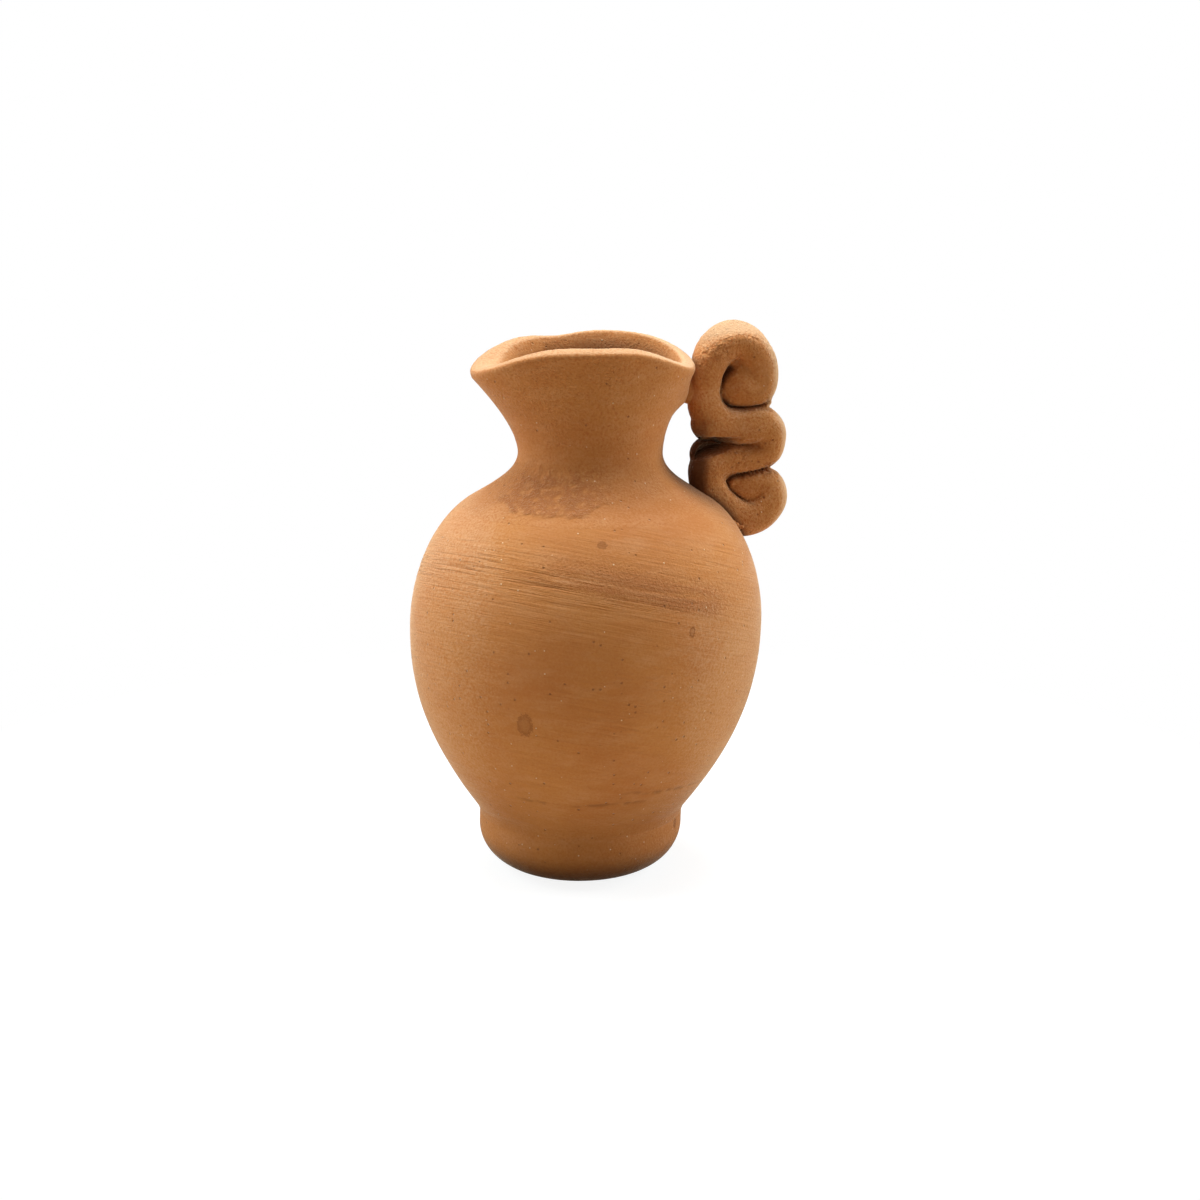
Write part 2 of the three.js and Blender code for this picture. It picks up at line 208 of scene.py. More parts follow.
def outer_wall(form):
    """The outside of belly and neck, from the crease over the foot to the outer edge of the lip."""
    base = upright(form.base_radius, form.base_height)
    widest = upright(form.belly_radius, form.belly_height)
    shoulder = upright(form.shoulder_radius, form.shoulder_height)
    waist = upright(form.waist_radius, form.waist_height)
    lip = upright(form.lip_radius, form.lip_height)
    fall = -form.shoulder_slope
    return [
        *stretch(base, form.base_slope, widest, 0, LOWER_FULLNESS, LOWER_ROWS),
        *stretch(widest, 0, shoulder, fall, UPPER_FULLNESS, UPPER_ROWS)[1:],
        *stretch(shoulder, fall, waist, 0, SHOULDER_FULLNESS, SHOULDER_ROWS)[1:],
        *stretch(waist, 0, lip, form.lip_slope, NECK_FULLNESS, NECK_ROWS)[1:],
    ]


def moved(line, distance_at):
    """The line moved along its outward normals by a distance that depends on the height."""
    ends = [line[0], *line, line[-1]]
    result = []
    for before, at, after in zip(ends, line, ends[2:]):
        step = (after - before).normalized()
        result.append(at + Vector((step.z, 0, -step.x)) * distance_at(at.z))
    return result


def crossing(line, height):
    """Where a rising line crosses a height."""
    for lower, upper in zip(line, line[1:]):
        if upper.z >= height:
            return lower.lerp(upper, (height - lower.z) / (upper.z - lower.z))
    raise ValueError(f"the wall doesn't reach {height}")


def between(line, low, high):
    """The part of a rising line between two heights."""
    return [crossing(line, low), *(at for at in line if low < at.z < high), crossing(line, high)]


def inner_wall(form):
    """The inside of the wall, with fewer rows than the outside."""
    rise = form.lip_height - form.base_height

    def thickness(height):
        part = (height - form.base_height) / rise
        return -(form.belly_wall + (form.lip_wall - form.belly_wall) * part)

    outside = outer_wall(form)
    return moved([*outside[:-1:INNER_STEP], outside[-1]], thickness)


def turned(outline, sides, closed=False):
    """An outline turned once round the upright axis."""
    bm = bmesh.new()
    corners = [bm.verts.new(at) for at in outline]
    edges = [bm.edges.new(pair) for pair in zip(corners, corners[1:])]
    if closed:
        edges.append(bm.edges.new((corners[-1], corners[0])))
    bmesh.ops.spin(
        bm, geom=corners + edges, cent=(0, 0, 0), axis=(0, 0, 1), angle=math.tau, steps=sides,
        use_merge=True)
    bmesh.ops.remove_doubles(bm, verts=bm.verts, dist=WELD)
    bmesh.ops.recalc_face_normals(bm, faces=bm.faces)
    return bm


def lean_over(bm, form):
    """Shears the upright piece by the jug's lean, so level joints stay level."""
    lean = Matrix.Identity(4)
    lean[0][2] = form.lean
    bmesh.ops.transform(bm, matrix=lean, verts=bm.verts)


def smooth_step(low, high, value):
    """A smooth rise from 0 to 1 between two values."""
    part = min(max((value - low) / (high - low), 0.0), 1.0)
    return part * part * (3 - 2 * part)


def step_up(value, low, high, amount):
    """A smooth rise from 0 to an amount between two values."""
    return amount * smooth_step(low, high, value)


def plateau(value, rise, fall):
    """1 between a rise and a fall, each given by its start and end, and 0 beyond them."""
    return smooth_step(*rise, value) * (1 - smooth_step(*fall, value))


def bell(value, width):
    """1 at zero, falling off evenly on both sides."""
    return math.exp(-(value / width) ** 2)


def wobble(at, size):
    """Noise between -1 and 1, with lumps of a size given in millimetres."""
    return noise.noise(at / (size * MM))


def azimuth_at(at, form):
    """The direction of a point from the leaning axis, in degrees."""
    return math.degrees(math.atan2(at.y, at.x - form.lean * at.z))


def point_tree(points):
    """A tree that finds the nearest of some points."""
    tree = KDTree(len(points))
    for index, at in enumerate(points):
        tree.insert(at, index)
    tree.balance()
    return tree


def soften(bm, verts, times):
    """Rubs the vertices smooth."""
    for _ in range(times):
        bmesh.ops.smooth_vert(
            bm, verts=verts, factor=0.5, use_axis_x=True, use_axis_y=True, use_axis_z=True)


# The slow and the quick unevenness of a hand-made wall: size in millimetres and share.
SWELLS = ((13, 0.75), (4.5, 0.25))


def swell(at):
    """Unevenness of a hand-made wall, between -1 and 1."""
    return sum(part * wobble(at, size) for size, part in SWELLS)


# How sharply the level faces of foot and belly are told from their sides.
FOOT_SHARPNESS = 4
BELLY_SHARPNESS = 8


def side_share(normal, sharpness):
    """1 on the sides of a piece and 0 on its level faces, which stay flat."""
    return 1 - abs(normal.z) ** sharpness


def faces_out(vert):
    return vert.normal.x * vert.co.x + vert.normal.y * vert.co.y > 0


# The tool that trimmed the belly was held aslant: the slanting plane of its marks.
DRAG_TILT = Vector((0.19, 0.243, 1.0))
DRAG_LEVEL = 40.05 * MM
# Its dense bundle of marks and the wider, fainter one: height over that plane, half width and strength.
DRAG_BUNDLES = ((0.8 * MM, 2.2 * MM, 1.0), (0.0, 5.5 * MM, 0.4))
# Length and spacing of the marks and of the patches they come in, and the values of noise between which a
# mark is cut to its full depth.
DRAG_LINE = (9 * MM, 0.4 * MM)
DRAG_PATCH = (7 * MM, 1.5 * MM)
DRAG_PATCH_SHIFT = 7.3
DRAG_PATCH_SHARE = 0.65
DRAG_CUT = (0.0, 0.55)
# Where the marks are worn off: the share left behind, and two steps of wear towards the handle.
DRAG_BEHIND = (8 * MM, -6 * MM)
DRAG_BEHIND_SHARE = 0.35
DRAG_WEAR = ((3 * MM, 10 * MM, 0.45), (14 * MM, 20 * MM, 0.35))
# The slurry drawn along with the tool: where it rises and falls over the plane and along the front, where
# it ends behind, the length, spacing and shift of its streaks, and the values of noise between which it
# covers fully.
WASH_OVER = ((-0.9 * MM, 0.9 * MM), (2.4 * MM, 6.2 * MM))
WASH_ALONG = ((-13 * MM, 5 * MM), (17 * MM, 22 * MM))
WASH_BEHIND = (0.0, 8 * MM)
WASH_STREAK = (10 * MM, 0.8 * MM, 3.1)
WASH_FULL = (-1.0, 0.0)


def drag_height(at):
    """Height over the slanting plane of the tool's marks."""
    return at.dot(DRAG_TILT) - DRAG_LEVEL


def streaks(at, run, spacing, shift=0.0):
    """Noise between -1 and 1, drawn out along the slanting plane of the tool's marks."""
    return noise.noise(Vector((at.x / run, at.y / run, drag_height(at) / spacing + shift)))


def drag_marks(at):
    """Bundles of grooves dragged across the shoulder, and how dense they lie."""
    height = drag_height(at)
    dense = sum(strength * bell(height - middle, width) for middle, width, strength in DRAG_BUNDLES)
    patches = DRAG_PATCH_SHARE + streaks(at, *DRAG_PATCH, DRAG_PATCH_SHIFT)
    worn = DRAG_BEHIND_SHARE + (1 - DRAG_BEHIND_SHARE) * smooth_step(*DRAG_BEHIND, at.y)
    worn *= 1 - sum(step_up(at.x, *wear) for wear in DRAG_WEAR)
    strength = dense * min(max(patches, 0.0), 1.0) * worn
    return strength * smooth_step(*DRAG_CUT, streaks(at, *DRAG_LINE)), strength


def drag_wash(at):
    """The redder slurry that the tool drew along on the handle side, from 0 to 1."""
    band = plateau(drag_height(at), *WASH_OVER) * plateau(at.x, *WASH_ALONG)
    streaky = smooth_step(*WASH_FULL, streaks(at, *WASH_STREAK))
    return band * (1 - smooth_step(*WASH_BEHIND, at.y)) * streaky


# Lines scored round the bottom of the belly: azimuth in degrees and height in millimetres at both ends.
SCORES = ((-97, 14.5, -61, 14.6), (-75, 16.45, -28, 14.9), (-118, 15.1, -99, 14.6))
SCORE_WIDTH = 0.22 * MM
# How far the lines wander, over how many degrees, and how they skip: degrees, shift and values of noise.
SCORE_WANDER = 0.25 * MM
SCORE_BEND = 6
SCORE_SKIP = 3.5
SCORE_SKIP_SHIFT = 2.0
SCORE_CUT = (-0.35, 0.2)


def score_marks(at, form):
    """The scored lines, from 0 to 1."""
    azimuth = azimuth_at(at, form)
    depth = 0.0
    for start, start_height, end, end_height in SCORES:
        part = (azimuth - start) / (end - start)
        if 0 < part < 1:
            level = (start_height + (end_height - start_height) * part) * MM
            wander = SCORE_WANDER * noise.noise(Vector((azimuth / SCORE_BEND, start, 0)))
            profile = bell(at.z - level - wander, SCORE_WIDTH)
            depth = max(depth, profile * math.sin(math.pi * part) ** 0.5)
    skips = noise.noise(Vector((azimuth / SCORE_SKIP, at.z / MM, SCORE_SKIP_SHIFT)))
    return depth * smooth_step(*SCORE_CUT, skips)


def finish_piece(bm, name, material, node, layers=None):
    """Makes the object with its painted layers, which rides on the jug's body and stands for its node."""
    mesh = bpy.data.meshes.new(name)
    bm.to_mesh(mesh)
    bm.free()
    mesh.shade_smooth()
    mesh.materials.append(material)
    for layer, values in (layers or {}).items():
        mesh.attributes.new(layer, "FLOAT", "POINT").data.foreach_set("value", values)
    piece = bpy.data.objects.new(name, mesh)
    bpy.context.scene.collection.objects.link(piece)
    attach(piece, BODY)
    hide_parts(node)
    return piece


def add_node(tree, kind, settings=None, inputs=None):
    made = tree.nodes.new(kind)
    for key, value in (settings or {}).items():
        setattr(made, key, value)
    for key, value in (inputs or {}).items():
        if isinstance(value, bpy.types.NodeSocket):
            tree.links.new(value, made.inputs[key])
        else:
            made.inputs[key].default_value = value
    return made


def calculate(tree, operation, first, second=0.0):
    return add_node(tree, "ShaderNodeMath", {"operation": operation}, {0: first, 1: second}).outputs[0]


def calculate_vector(tree, operation, inputs):
    return add_node(tree, "ShaderNodeVectorMath", {"operation": operation}, inputs).outputs


def ramp(tree, value, low, high, to_low=0.0, to_high=1.0):
    inputs = {"Value": value, "From Min": low, "From Max": high, "To Min": to_low, "To Max": to_high}
    return add_node(tree, "ShaderNodeMapRange", {"clamp": True}, inputs).outputs[0]


def mix_colours(tree, factor, first, second):
    made = add_node(tree, "ShaderNodeMix", {"data_type": "RGBA"}, {0: factor, 6: first, 7: second})
    return made.outputs[2]


def tinted(tree, base, mask, amount, tint):
    """A colour mixed with a tint by a share of a mask."""
    return mix_colours(tree, calculate(tree, "MULTIPLY", mask, amount), base, tint)


def raised(tree, height, mask, amount):
    """A height with a share of a mask added to it."""
    return calculate(tree, "ADD", height, calculate(tree, "MULTIPLY", mask, amount))


def painted(tree, layer):
    """A layer painted on the vertices."""
    return add_node(tree, "ShaderNodeAttribute", {"attribute_name": layer}).outputs["Fac"]


def noise_texture(tree, vector, scale, detail=2.0, roughness=0.5):
    inputs = {"Vector": vector, "Scale": scale, "Detail": detail, "Roughness": roughness}
    return add_node(tree, "ShaderNodeTexNoise", {}, inputs).outputs[0]


def new_group(name, inputs, outputs):
    """A node group with named sockets: the tree, its inputs' sockets and its output node."""
    tree = bpy.data.node_groups.new(name, "ShaderNodeTree")
    for label, kind in inputs:
        tree.interface.new_socket(label, in_out="INPUT", socket_type=kind)
    for label, kind in outputs:
        tree.interface.new_socket(label, in_out="OUTPUT", socket_type=kind)
    return tree, tree.nodes.new("NodeGroupInput").outputs, tree.nodes.new("NodeGroupOutput")


FLOAT = "NodeSocketFloat"
VECTOR = "NodeSocketVector"
COLOUR = "NodeSocketColor"

# Clouds in the clay: how many come to a millimetre, how the small ones are drawn out sideways, and how much
# of the pale ones shows.
BROAD_CLOUDS = 0.06
SMALL_CLOUDS = 0.35
CLOUD_STRETCH = (0.5, 0.5, 1.5)
PALE_CLOUD_TINT = 0.7
# Specks in the clay: cells for each grain, reach in the cell, and the share of the cells that stay bare.
SPECKS = (("Sand", 0.30, 0.12, 0.84), ("Pits", 0.36, 0.22, 0.88))
SPECK_CORE = 0.5
# The ragged edge of a spot: lumps to a millimetre, and how far they go in and out.
SPOT_LUMPS = 2.2
SPOT_RAGGED = 0.4


def tone_group():
    """Clouds of redder and paler clay."""
    tree, given, out = new_group(
        "Clay Tone",
        [("Vector", VECTOR), ("Body", COLOUR), ("Deep", COLOUR), ("Pale", COLOUR), ("Clouds", FLOAT)],
        [("Color", COLOUR)])
    broad = noise_texture(tree, given["Vector"], BROAD_CLOUDS, 3.0, 0.55)
    deep = calculate(tree, "MULTIPLY", ramp(tree, broad, 0.42, 0.68), given["Clouds"])
    drawn_out = calculate_vector(tree, "MULTIPLY", {0: given["Vector"], 1: CLOUD_STRETCH})[0]
    small = noise_texture(tree, drawn_out, SMALL_CLOUDS, 4.0, 0.6)
    pale = calculate(tree, "MULTIPLY", ramp(tree, small, 0.45, 0.75), given["Clouds"])
    shaded = mix_colours(tree, deep, given["Body"], given["Deep"])
    lightened = tinted(tree, shaded, pale, PALE_CLOUD_TINT, given["Pale"])
    tree.links.new(lightened, out.inputs["Color"])
    return tree


def grain_group():
    """Grain of the clay with its sand and pits."""
    tree, given, out = new_group(
        "Clay Grain",
        [("Vector", VECTOR), ("Size", FLOAT)],
        [("Height", FLOAT), ("Sand", FLOAT), ("Pits", FLOAT)])
    fine = calculate(tree, "DIVIDE", 1.0, given["Size"])
    height = noise_texture(tree, given["Vector"], fine, 3.0, 0.65)
    tree.links.new(height, out.inputs["Height"])
    for label, spread, reach, chosen in SPECKS:
        scale = calculate(tree, "MULTIPLY", fine, spread)
        cells = add_node(tree, "ShaderNodeTexVoronoi", {}, {"Vector": given["Vector"], "Scale": scale})
        pick = add_node(tree, "ShaderNodeSeparateColor", {}, {0: cells.outputs["Color"]}).outputs[0]
        dot = ramp(tree, cells.outputs["Distance"], reach, reach * SPECK_CORE)
        mask = calculate(tree, "MULTIPLY", dot, calculate(tree, "GREATER_THAN", pick, chosen))
        tree.links.new(mask, out.inputs[label])
    return tree


def lines_group():
    """Fine lines of a tool or sponge, drawn round the turning jug on a slanting level."""
    tree, given, out = new_group(
        "Turning Lines",
        [("Vector", VECTOR), ("Tilt", VECTOR), ("Spacing", FLOAT), ("Run", FLOAT)],
        [("Lines", FLOAT)])
    level = calculate_vector(tree, "DOT_PRODUCT", {0: given["Vector"], 1: given["Tilt"]})["Value"]
    split = add_node(tree, "ShaderNodeSeparateXYZ", {}, {0: given["Vector"]}).outputs
    parts = {
        0: calculate(tree, "DIVIDE", split[0], given["Run"]),
        1: calculate(tree, "DIVIDE", split[1], given["Run"]),
        2: calculate(tree, "DIVIDE", level, given["Spacing"]),
    }
    stretched = add_node(tree, "ShaderNodeCombineXYZ", {}, parts).outputs[0]
    tree.links.new(noise_texture(tree, stretched, 1.0, 2.0, 0.6), out.inputs["Lines"])
    return tree


def spot_group():
    """One ragged spot with a darker edge."""
    tree, given, out = new_group(
        "Clay Spot",
        [("Vector", VECTOR), ("Centre", VECTOR), ("Reach", VECTOR)],
        [("Spot", FLOAT), ("Edge", FLOAT)])
    offset = calculate_vector(tree, "SUBTRACT", {0: given["Vector"], 1: given["Centre"]})[0]
    scaled = calculate_vector(tree, "DIVIDE", {0: offset, 1: given["Reach"]})[0]
    far = calculate_vector(tree, "LENGTH", {0: scaled})["Value"]
    ragged = noise_texture(tree, given["Vector"], SPOT_LUMPS, 3.0, 0.7)
    reach = calculate(tree, "ADD", far, ramp(tree, ragged, 0.2, 0.8, -SPOT_RAGGED, SPOT_RAGGED))
    inside = ramp(tree, reach, 1.05, 0.85)
    tree.links.new(inside, out.inputs["Spot"])
    rim = calculate(tree, "MULTIPLY", inside, ramp(tree, reach, 0.5, 0.85))
    tree.links.new(rim, out.inputs["Edge"])
    return tree


GROUP_MAKERS = {
    "Clay Tone": tone_group,
    "Clay Grain": grain_group,
    "Turning Lines": lines_group,
    "Clay Spot": spot_group,
}


def use_group(tree, name, inputs):
    """Places a shared node group in a material. The group is built at its first use."""
    shared = bpy.data.node_groups.get(name) or GROUP_MAKERS[name]()
    return add_node(tree, "ShaderNodeGroup", {"node_tree": shared}, inputs).outputs


def turning_lines(tree, vector, tilt, spacing):
    inputs = {"Vector": vector, "Tilt": tilt, "Spacing": spacing, "Run": LINE_RUN}
    return use_group(tree, "Turning Lines", inputs)["Lines"]


# Spots burnt in the belly: place and half sizes in millimetres, and how much they darken inside and at
# their edge. The nick in the side of the foot is given in the same way.
IRON_SPOTS = (
    ((-7.25, -22.5, 27.4), (1.1, 2.0, 1.7), 0.36, 0.6),
    ((3.0, -19.6, 51.3), (0.65, 1.0, 0.55), 0.55, 0.3),
    ((15.0, -20.3, 39.6), (0.45, 0.8, 0.78), 0.4, 1.0),
)
FOOT_NICK = (((13.71, -5.67, 7.5), (0.4, 0.6, 0.8), 0.75, 0.6),)

# Coarser patches of grain to a millimetre. Then sizes in millimetres: of a grain, of the spacing between
# turning lines and between the finer cuts of a tool, and of their run.
COARSE_PATCHES = 0.14
GRAIN_SIZE = 0.34
LINE_SPACING = 0.42
CUT_SPACING = 0.3
LINE_RUN = 9.0
# How much of each tint shows.
LINE_TINT = 0.35
GRAIN_TINT = 0.5
PIT_TINT = 0.42
SAND_TINT = 0.85
CUT_TINT = 0.4
RIDGE_TINT = 0.5
SHADE_TINT = 0.6
# The depth of the bump, and relief as shares of it.
BUMP_DEPTH = 0.16 * MM
WASH_RELIEF = 1.2
CUT_RELIEF = -0.5
PIT_RELIEF = -0.6
SAND_RELIEF = 0.4
# Dry, unglazed clay: roughness in hollows and on grains, and the dusty sheen at a glancing view.
HOLLOW_ROUGHNESS = 0.98
GRAIN_ROUGHNESS = 0.84
DRY_CLAY = {
    "Specular IOR Level": 0.3,
    "Sheen Weight": 0.45,
    "Sheen Roughness": 0.25,
    "Sheen Tint": (1.0, 0.86, 0.70, 1.0),
}


def with_wash(tree, base, height, grain, slip):
    """Slip washed over the clay in patches, with crumbs in it."""
    wash = painted(tree, "wash")
    patchy = calculate(tree, "ADD", ramp(tree, grain, 0.35, 0.65, 0.5, -0.5), wash)
    cover = calculate(tree, "MULTIPLY", wash, ramp(tree, patchy, 0.0, 0.8))
    crumbs = calculate(tree, "MULTIPLY", wash, grain)
    return mix_colours(tree, cover, base, slip), raised(tree, height, crumbs, WASH_RELIEF)


def with_cuts(tree, base, height, fine, colours):
    """Fine cuts darkened as painted shade and ridges paled as painted highlight, where a tool was dragged.
    """
    dense = painted(tree, "drag")
    cut = calculate(tree, "MULTIPLY", dense, ramp(tree, fine, 0.5, 0.62))
    ridge = calculate(tree, "MULTIPLY", dense, ramp(tree, fine, 0.46, 0.36))
    base = tinted(tree, base, cut, CUT_TINT, colours.slip)
    base = tinted(tree, base, ridge, RIDGE_TINT, colours.pale)
    return base, raised(tree, height, cut, CUT_RELIEF)


def with_painted_highlight(tree, base, grain, pale):
    """Painted highlight: a pale colour on the tops and sides that catch the light, on the grains first."""
    painted_highlight = painted(tree, "painted_highlight")
    grainy = calculate(tree, "ADD", painted_highlight, ramp(tree, grain, 0.3, 0.7, -0.35, 0.35))
    highlight_share = calculate(tree, "MULTIPLY", painted_highlight, ramp(tree, grainy, 0.2, 0.8))
    return mix_colours(tree, highlight_share, base, pale)


def fired_clay(name, colours, clouds, grain, lines, tilt=LEVEL, spots=(), layers=()):
    """Unglazed fired clay: clouds of tone, turning lines, grain, sand, pits and iron spots.

    The layer "wash" is painted with slip and "drag" is scored with fine lines. The pale layer lightens
    the tops and sides as painted highlight, and "marks" darkens the clay as painted shade.
    """
    material = bpy.data.materials.new(name)
    material.use_nodes = True
    tree = material.node_tree
    shader = tree.nodes["Principled BSDF"]
    place = add_node(tree, "ShaderNodeTexCoord").outputs["Object"]
    vector = calculate_vector(tree, "SCALE", {0: place, "Scale": 1 / MM})[0]
    tones = {"Body": colours.body, "Deep": colours.deep, "Pale": colours.pale, "Clouds": clouds}
    tone = use_group(tree, "Clay Tone", {"Vector": vector, **tones})["Color"]
    drawn = turning_lines(tree, vector, tilt, LINE_SPACING)
    speck = use_group(tree, "Clay Grain", {"Vector": vector, "Size": GRAIN_SIZE})
    grains = speck["Height"]
    base = mix_colours(tree, ramp(tree, drawn, 0.5, 0.8, 0.0, LINE_TINT * lines), tone, colours.deep)
    coarse = ramp(tree, noise_texture(tree, vector, COARSE_PATCHES), 0.36, 0.64, 0.5, 1.5)
    height = calculate(tree, "MULTIPLY", grains, calculate(tree, "MULTIPLY", coarse, grain))
    if "wash" in layers:
        base, height = with_wash(tree, base, height, grains, colours.slip)
    if "drag" in layers:
        fine = turning_lines(tree, vector, tilt, CUT_SPACING)
        base, height = with_cuts(tree, base, height, fine, colours)
    base = mix_colours(tree, ramp(tree, grains, 0.5, 0.34, 0.0, grain), base, colours.deep)
    base = mix_colours(tree, ramp(tree, grains, 0.54, 0.72, 0.0, GRAIN_TINT * grain), base, colours.pale)
    # Painted shade in the pits.
    base = tinted(tree, base, speck["Pits"], PIT_TINT, colours.painted_shade)
    base = tinted(tree, base, speck["Sand"], SAND_TINT, colours.sand)
    # Painted highlight on the tops and sides that catch the light.
    if "painted_highlight" in layers:
        base = with_painted_highlight(tree, base, grains, colours.painted_highlight)
    for centre, reach, fill, edge in spots:
        spot = use_group(tree, "Clay Spot", {"Vector": vector, "Centre": centre, "Reach": reach})
        base = tinted(tree, base, spot["Spot"], fill, colours.iron)
        base = tinted(tree, base, spot["Edge"], edge, colours.iron)
    # Painted shade in grooves, creases, gaps, corners, the foot's lower edge and inside the mouth.
    if "marks" in layers:
        base = tinted(tree, base, painted(tree, "marks"), SHADE_TINT, colours.painted_shade)
    tree.links.new(base, shader.inputs["Base Color"])
    roughness = ramp(tree, grains, 0.3, 0.7, HOLLOW_ROUGHNESS, GRAIN_ROUGHNESS)
    tree.links.new(roughness, shader.inputs["Roughness"])
    height = raised(tree, height, drawn, lines)
    height = raised(tree, height, speck["Pits"], PIT_RELIEF)
    height = raised(tree, height, speck["Sand"], SAND_RELIEF)
    relief = {"Strength": 1.0, "Distance": BUMP_DEPTH, "Height": height}
    tree.links.new(add_node(tree, "ShaderNodeBump", {}, relief).outputs[0], shader.inputs["Normal"])
    for socket, value in DRY_CLAY.items():
        shader.inputs[socket].default_value = value
    return material


# The shade towards the ground on the foot's rounded edge: the heights between which it fades, and its
# strength.
FOOT_SHADE = (0.5 * MM, 5.5 * MM)
FOOT_SHADE_STRENGTH = 1.3
EDGE_ROWS = 3 * ROUND_ROWS


class JUG_OT_foot(bpy.types.Operator):
    """Model the rounded foot pad."""

    bl_idname = "jug.foot"
    bl_label = "Foot pad"

    def execute(self, context):
        form, marks, colours = context.scene.jug_form, context.scene.jug_marks, context.scene.jug_colours
        width, rise = form.foot_radius - form.foot_flat, form.foot_height - form.foot_edge
        turns = [math.pi / 2 * row / EDGE_ROWS for row in range(EDGE_ROWS + 1)]
        edge = [
            upright(form.foot_flat + width * math.sin(turn), form.foot_edge * (1 - math.cos(turn)))
            for turn in turns
        ]
        wall = [
            upright(form.foot_radius, form.foot_edge + rise * row / ROUND_ROWS)
            for row in range(1, ROUND_ROWS + 1)
        ]
        bm = turned([upright(0, 0), *edge, *wall, upright(0, form.foot_height)], BELLY_SIDES)
        lean_over(bm, form)
        bm.normal_update()
        darkened = []
        for vert in bm.verts:
            sides = side_share(vert.normal, FOOT_SHARPNESS)
            darkened.append(FOOT_SHADE_STRENGTH * (1 - smooth_step(*FOOT_SHADE, vert.co.z)))
            vert.co += vert.normal * marks.swell * swell(vert.co) * sides
        material = fired_clay(
            "foot_terracotta", colours, clouds=0.5, grain=0.55, lines=0.35, spots=FOOT_NICK,
            layers=("marks",))
        finish_piece(bm, "foot_pad", material, "foot", {"marks": darkened})
        return {"FINISHED"}


# The slip in the crease over the foot: how far it reaches up and down, how far it lies under the skin of
# its neighbours, how low its corner is, and its thickness.
CREASE_REACH = 0.7 * MM
CREASE_UNDER = 0.04 * MM
CREASE_DROP = 0.05 * MM
CREASE_THICKNESS = 0.5 * MM


class JUG_OT_foot_slip(bpy.types.Operator):
    """Fill the joint between foot and belly with slip, wiped flush in the crease."""

    bl_idname = "jug.foot_slip"
    bl_label = "Foot slip"

    def execute(self, context):
        form, marks, colours = context.scene.jug_form, context.scene.jug_marks, context.scene.jug_colours
        low = upright(form.foot_radius - CREASE_UNDER, form.foot_height - CREASE_REACH)
        high = crossing(outer_wall(form), form.base_height + CREASE_REACH) - upright(CREASE_UNDER, 0)
        corner = upright(form.base_radius + CREASE_UNDER, form.base_height - CREASE_DROP)
        fillet = interpolate_bezier(low, corner, corner, high, ROUND_ROWS)
        lower, upper = form.foot_radius - CREASE_THICKNESS, form.base_radius - CREASE_THICKNESS
        outline = [
            upright(0, form.foot_height), upright(lower, form.foot_height), upright(lower, low.z), *fillet,
            upright(upper, high.z), upright(upper, form.base_height), upright(0, form.base_height),
        ]
        bm = turned(outline, BELLY_SIDES)
        lean_over(bm, form)
        bm.normal_update()
        for vert in bm.verts:
            if faces_out(vert):
                vert.co += vert.normal * marks.swell * swell(vert.co)
        material = fired_clay("foot_slip_clay", colours, clouds=0.5, grain=0.55, lines=0.45)
        finish_piece(bm, "foot_joint", material, "foot_slip")
        return {"FINISHED"}


# Painted shade in the gap between neck and coil: the azimuths where it rises and falls, in degrees, its
# height, reach and strength.
GAP_SHADE_BESIDE = ((-32, 0), (30, 55))
GAP_SHADE_HEIGHT = 56.3 * MM
GAP_SHADE_REACH = 4.4 * MM
GAP_SHADE_STRENGTH = 1.5
# Painted shade in the corner where the coil touches the wall.
CONTACT_REACH = 0.8 * MM
CONTACT_STRENGTH = 1.5


def gap_shade(at, form):
    """Painted shade in the gap between neck and coil."""
    beside = plateau(azimuth_at(at, form), *GAP_SHADE_BESIDE)
    return GAP_SHADE_STRENGTH * beside * bell(at.z - GAP_SHADE_HEIGHT, GAP_SHADE_REACH)


def coil_tree(form, handle):
    """The coil's middle line in space, with its radii."""
    path = smooth_path(COIL_PATH)
    places = [handle_place(form, handle, at[0], at[1], at[3]) for at in path]
    return point_tree(places), [at[2] * MM for at in path]


def contact_shade(at, tree, radii):
    """Painted shade, a dark line, in the corner where the coil touches the wall."""
    _, index, gap = tree.find(at)
    return CONTACT_STRENGTH * bell(max(gap - radii[index], 0.0), CONTACT_REACH)


def wall_shade(at, form, coil):
    """The shade that the coil leaves on the wall."""
    return max(gap_shade(at, form), contact_shade(at, *coil))


# Painted highlight on the sides and left shoulder, by distance from the axis and height in millimetres:
# where each part of it starts and is full, with its amount. The heights are ragged by some millimetres.
HIGHLIGHT_SIDES = ((7, 16, 0.42), (17, 23, 0.05))
HIGHLIGHT_RIGHT = (12, 18, 0.09)
HIGHLIGHT_RIGHT_FADE = (36, 53, 0.75)
HIGHLIGHT_LEFT = (4, 14, 0.13)
HIGHLIGHT_LEFT_RISE = (42, 50)
HIGHLIGHT_RAGGED = 3
HIGHLIGHT_RAGGED_SIZE = 6


def side_highlight(at, form):
    """Painted highlight on the sides and the left shoulder, none in front, from 0 to 1."""
    out = (at.x - form.lean * at.z) / MM
    height = at.z / MM + HIGHLIGHT_RAGGED * wobble(at, HIGHLIGHT_RAGGED_SIZE)
    side = sum(step_up(abs(out), *part) for part in HIGHLIGHT_SIDES)
    if out > 0:
        return (side + step_up(out, *HIGHLIGHT_RIGHT)) * (1 - step_up(height, *HIGHLIGHT_RIGHT_FADE))
    return side + step_up(-out, *HIGHLIGHT_LEFT) * smooth_step(*HIGHLIGHT_LEFT_RISE, height)


# Painted shade in the grooves of the tool and in the scored lines: how dark each gets.
DRAG_SHADE = 0.06
SCORE_SHADE = 0.8


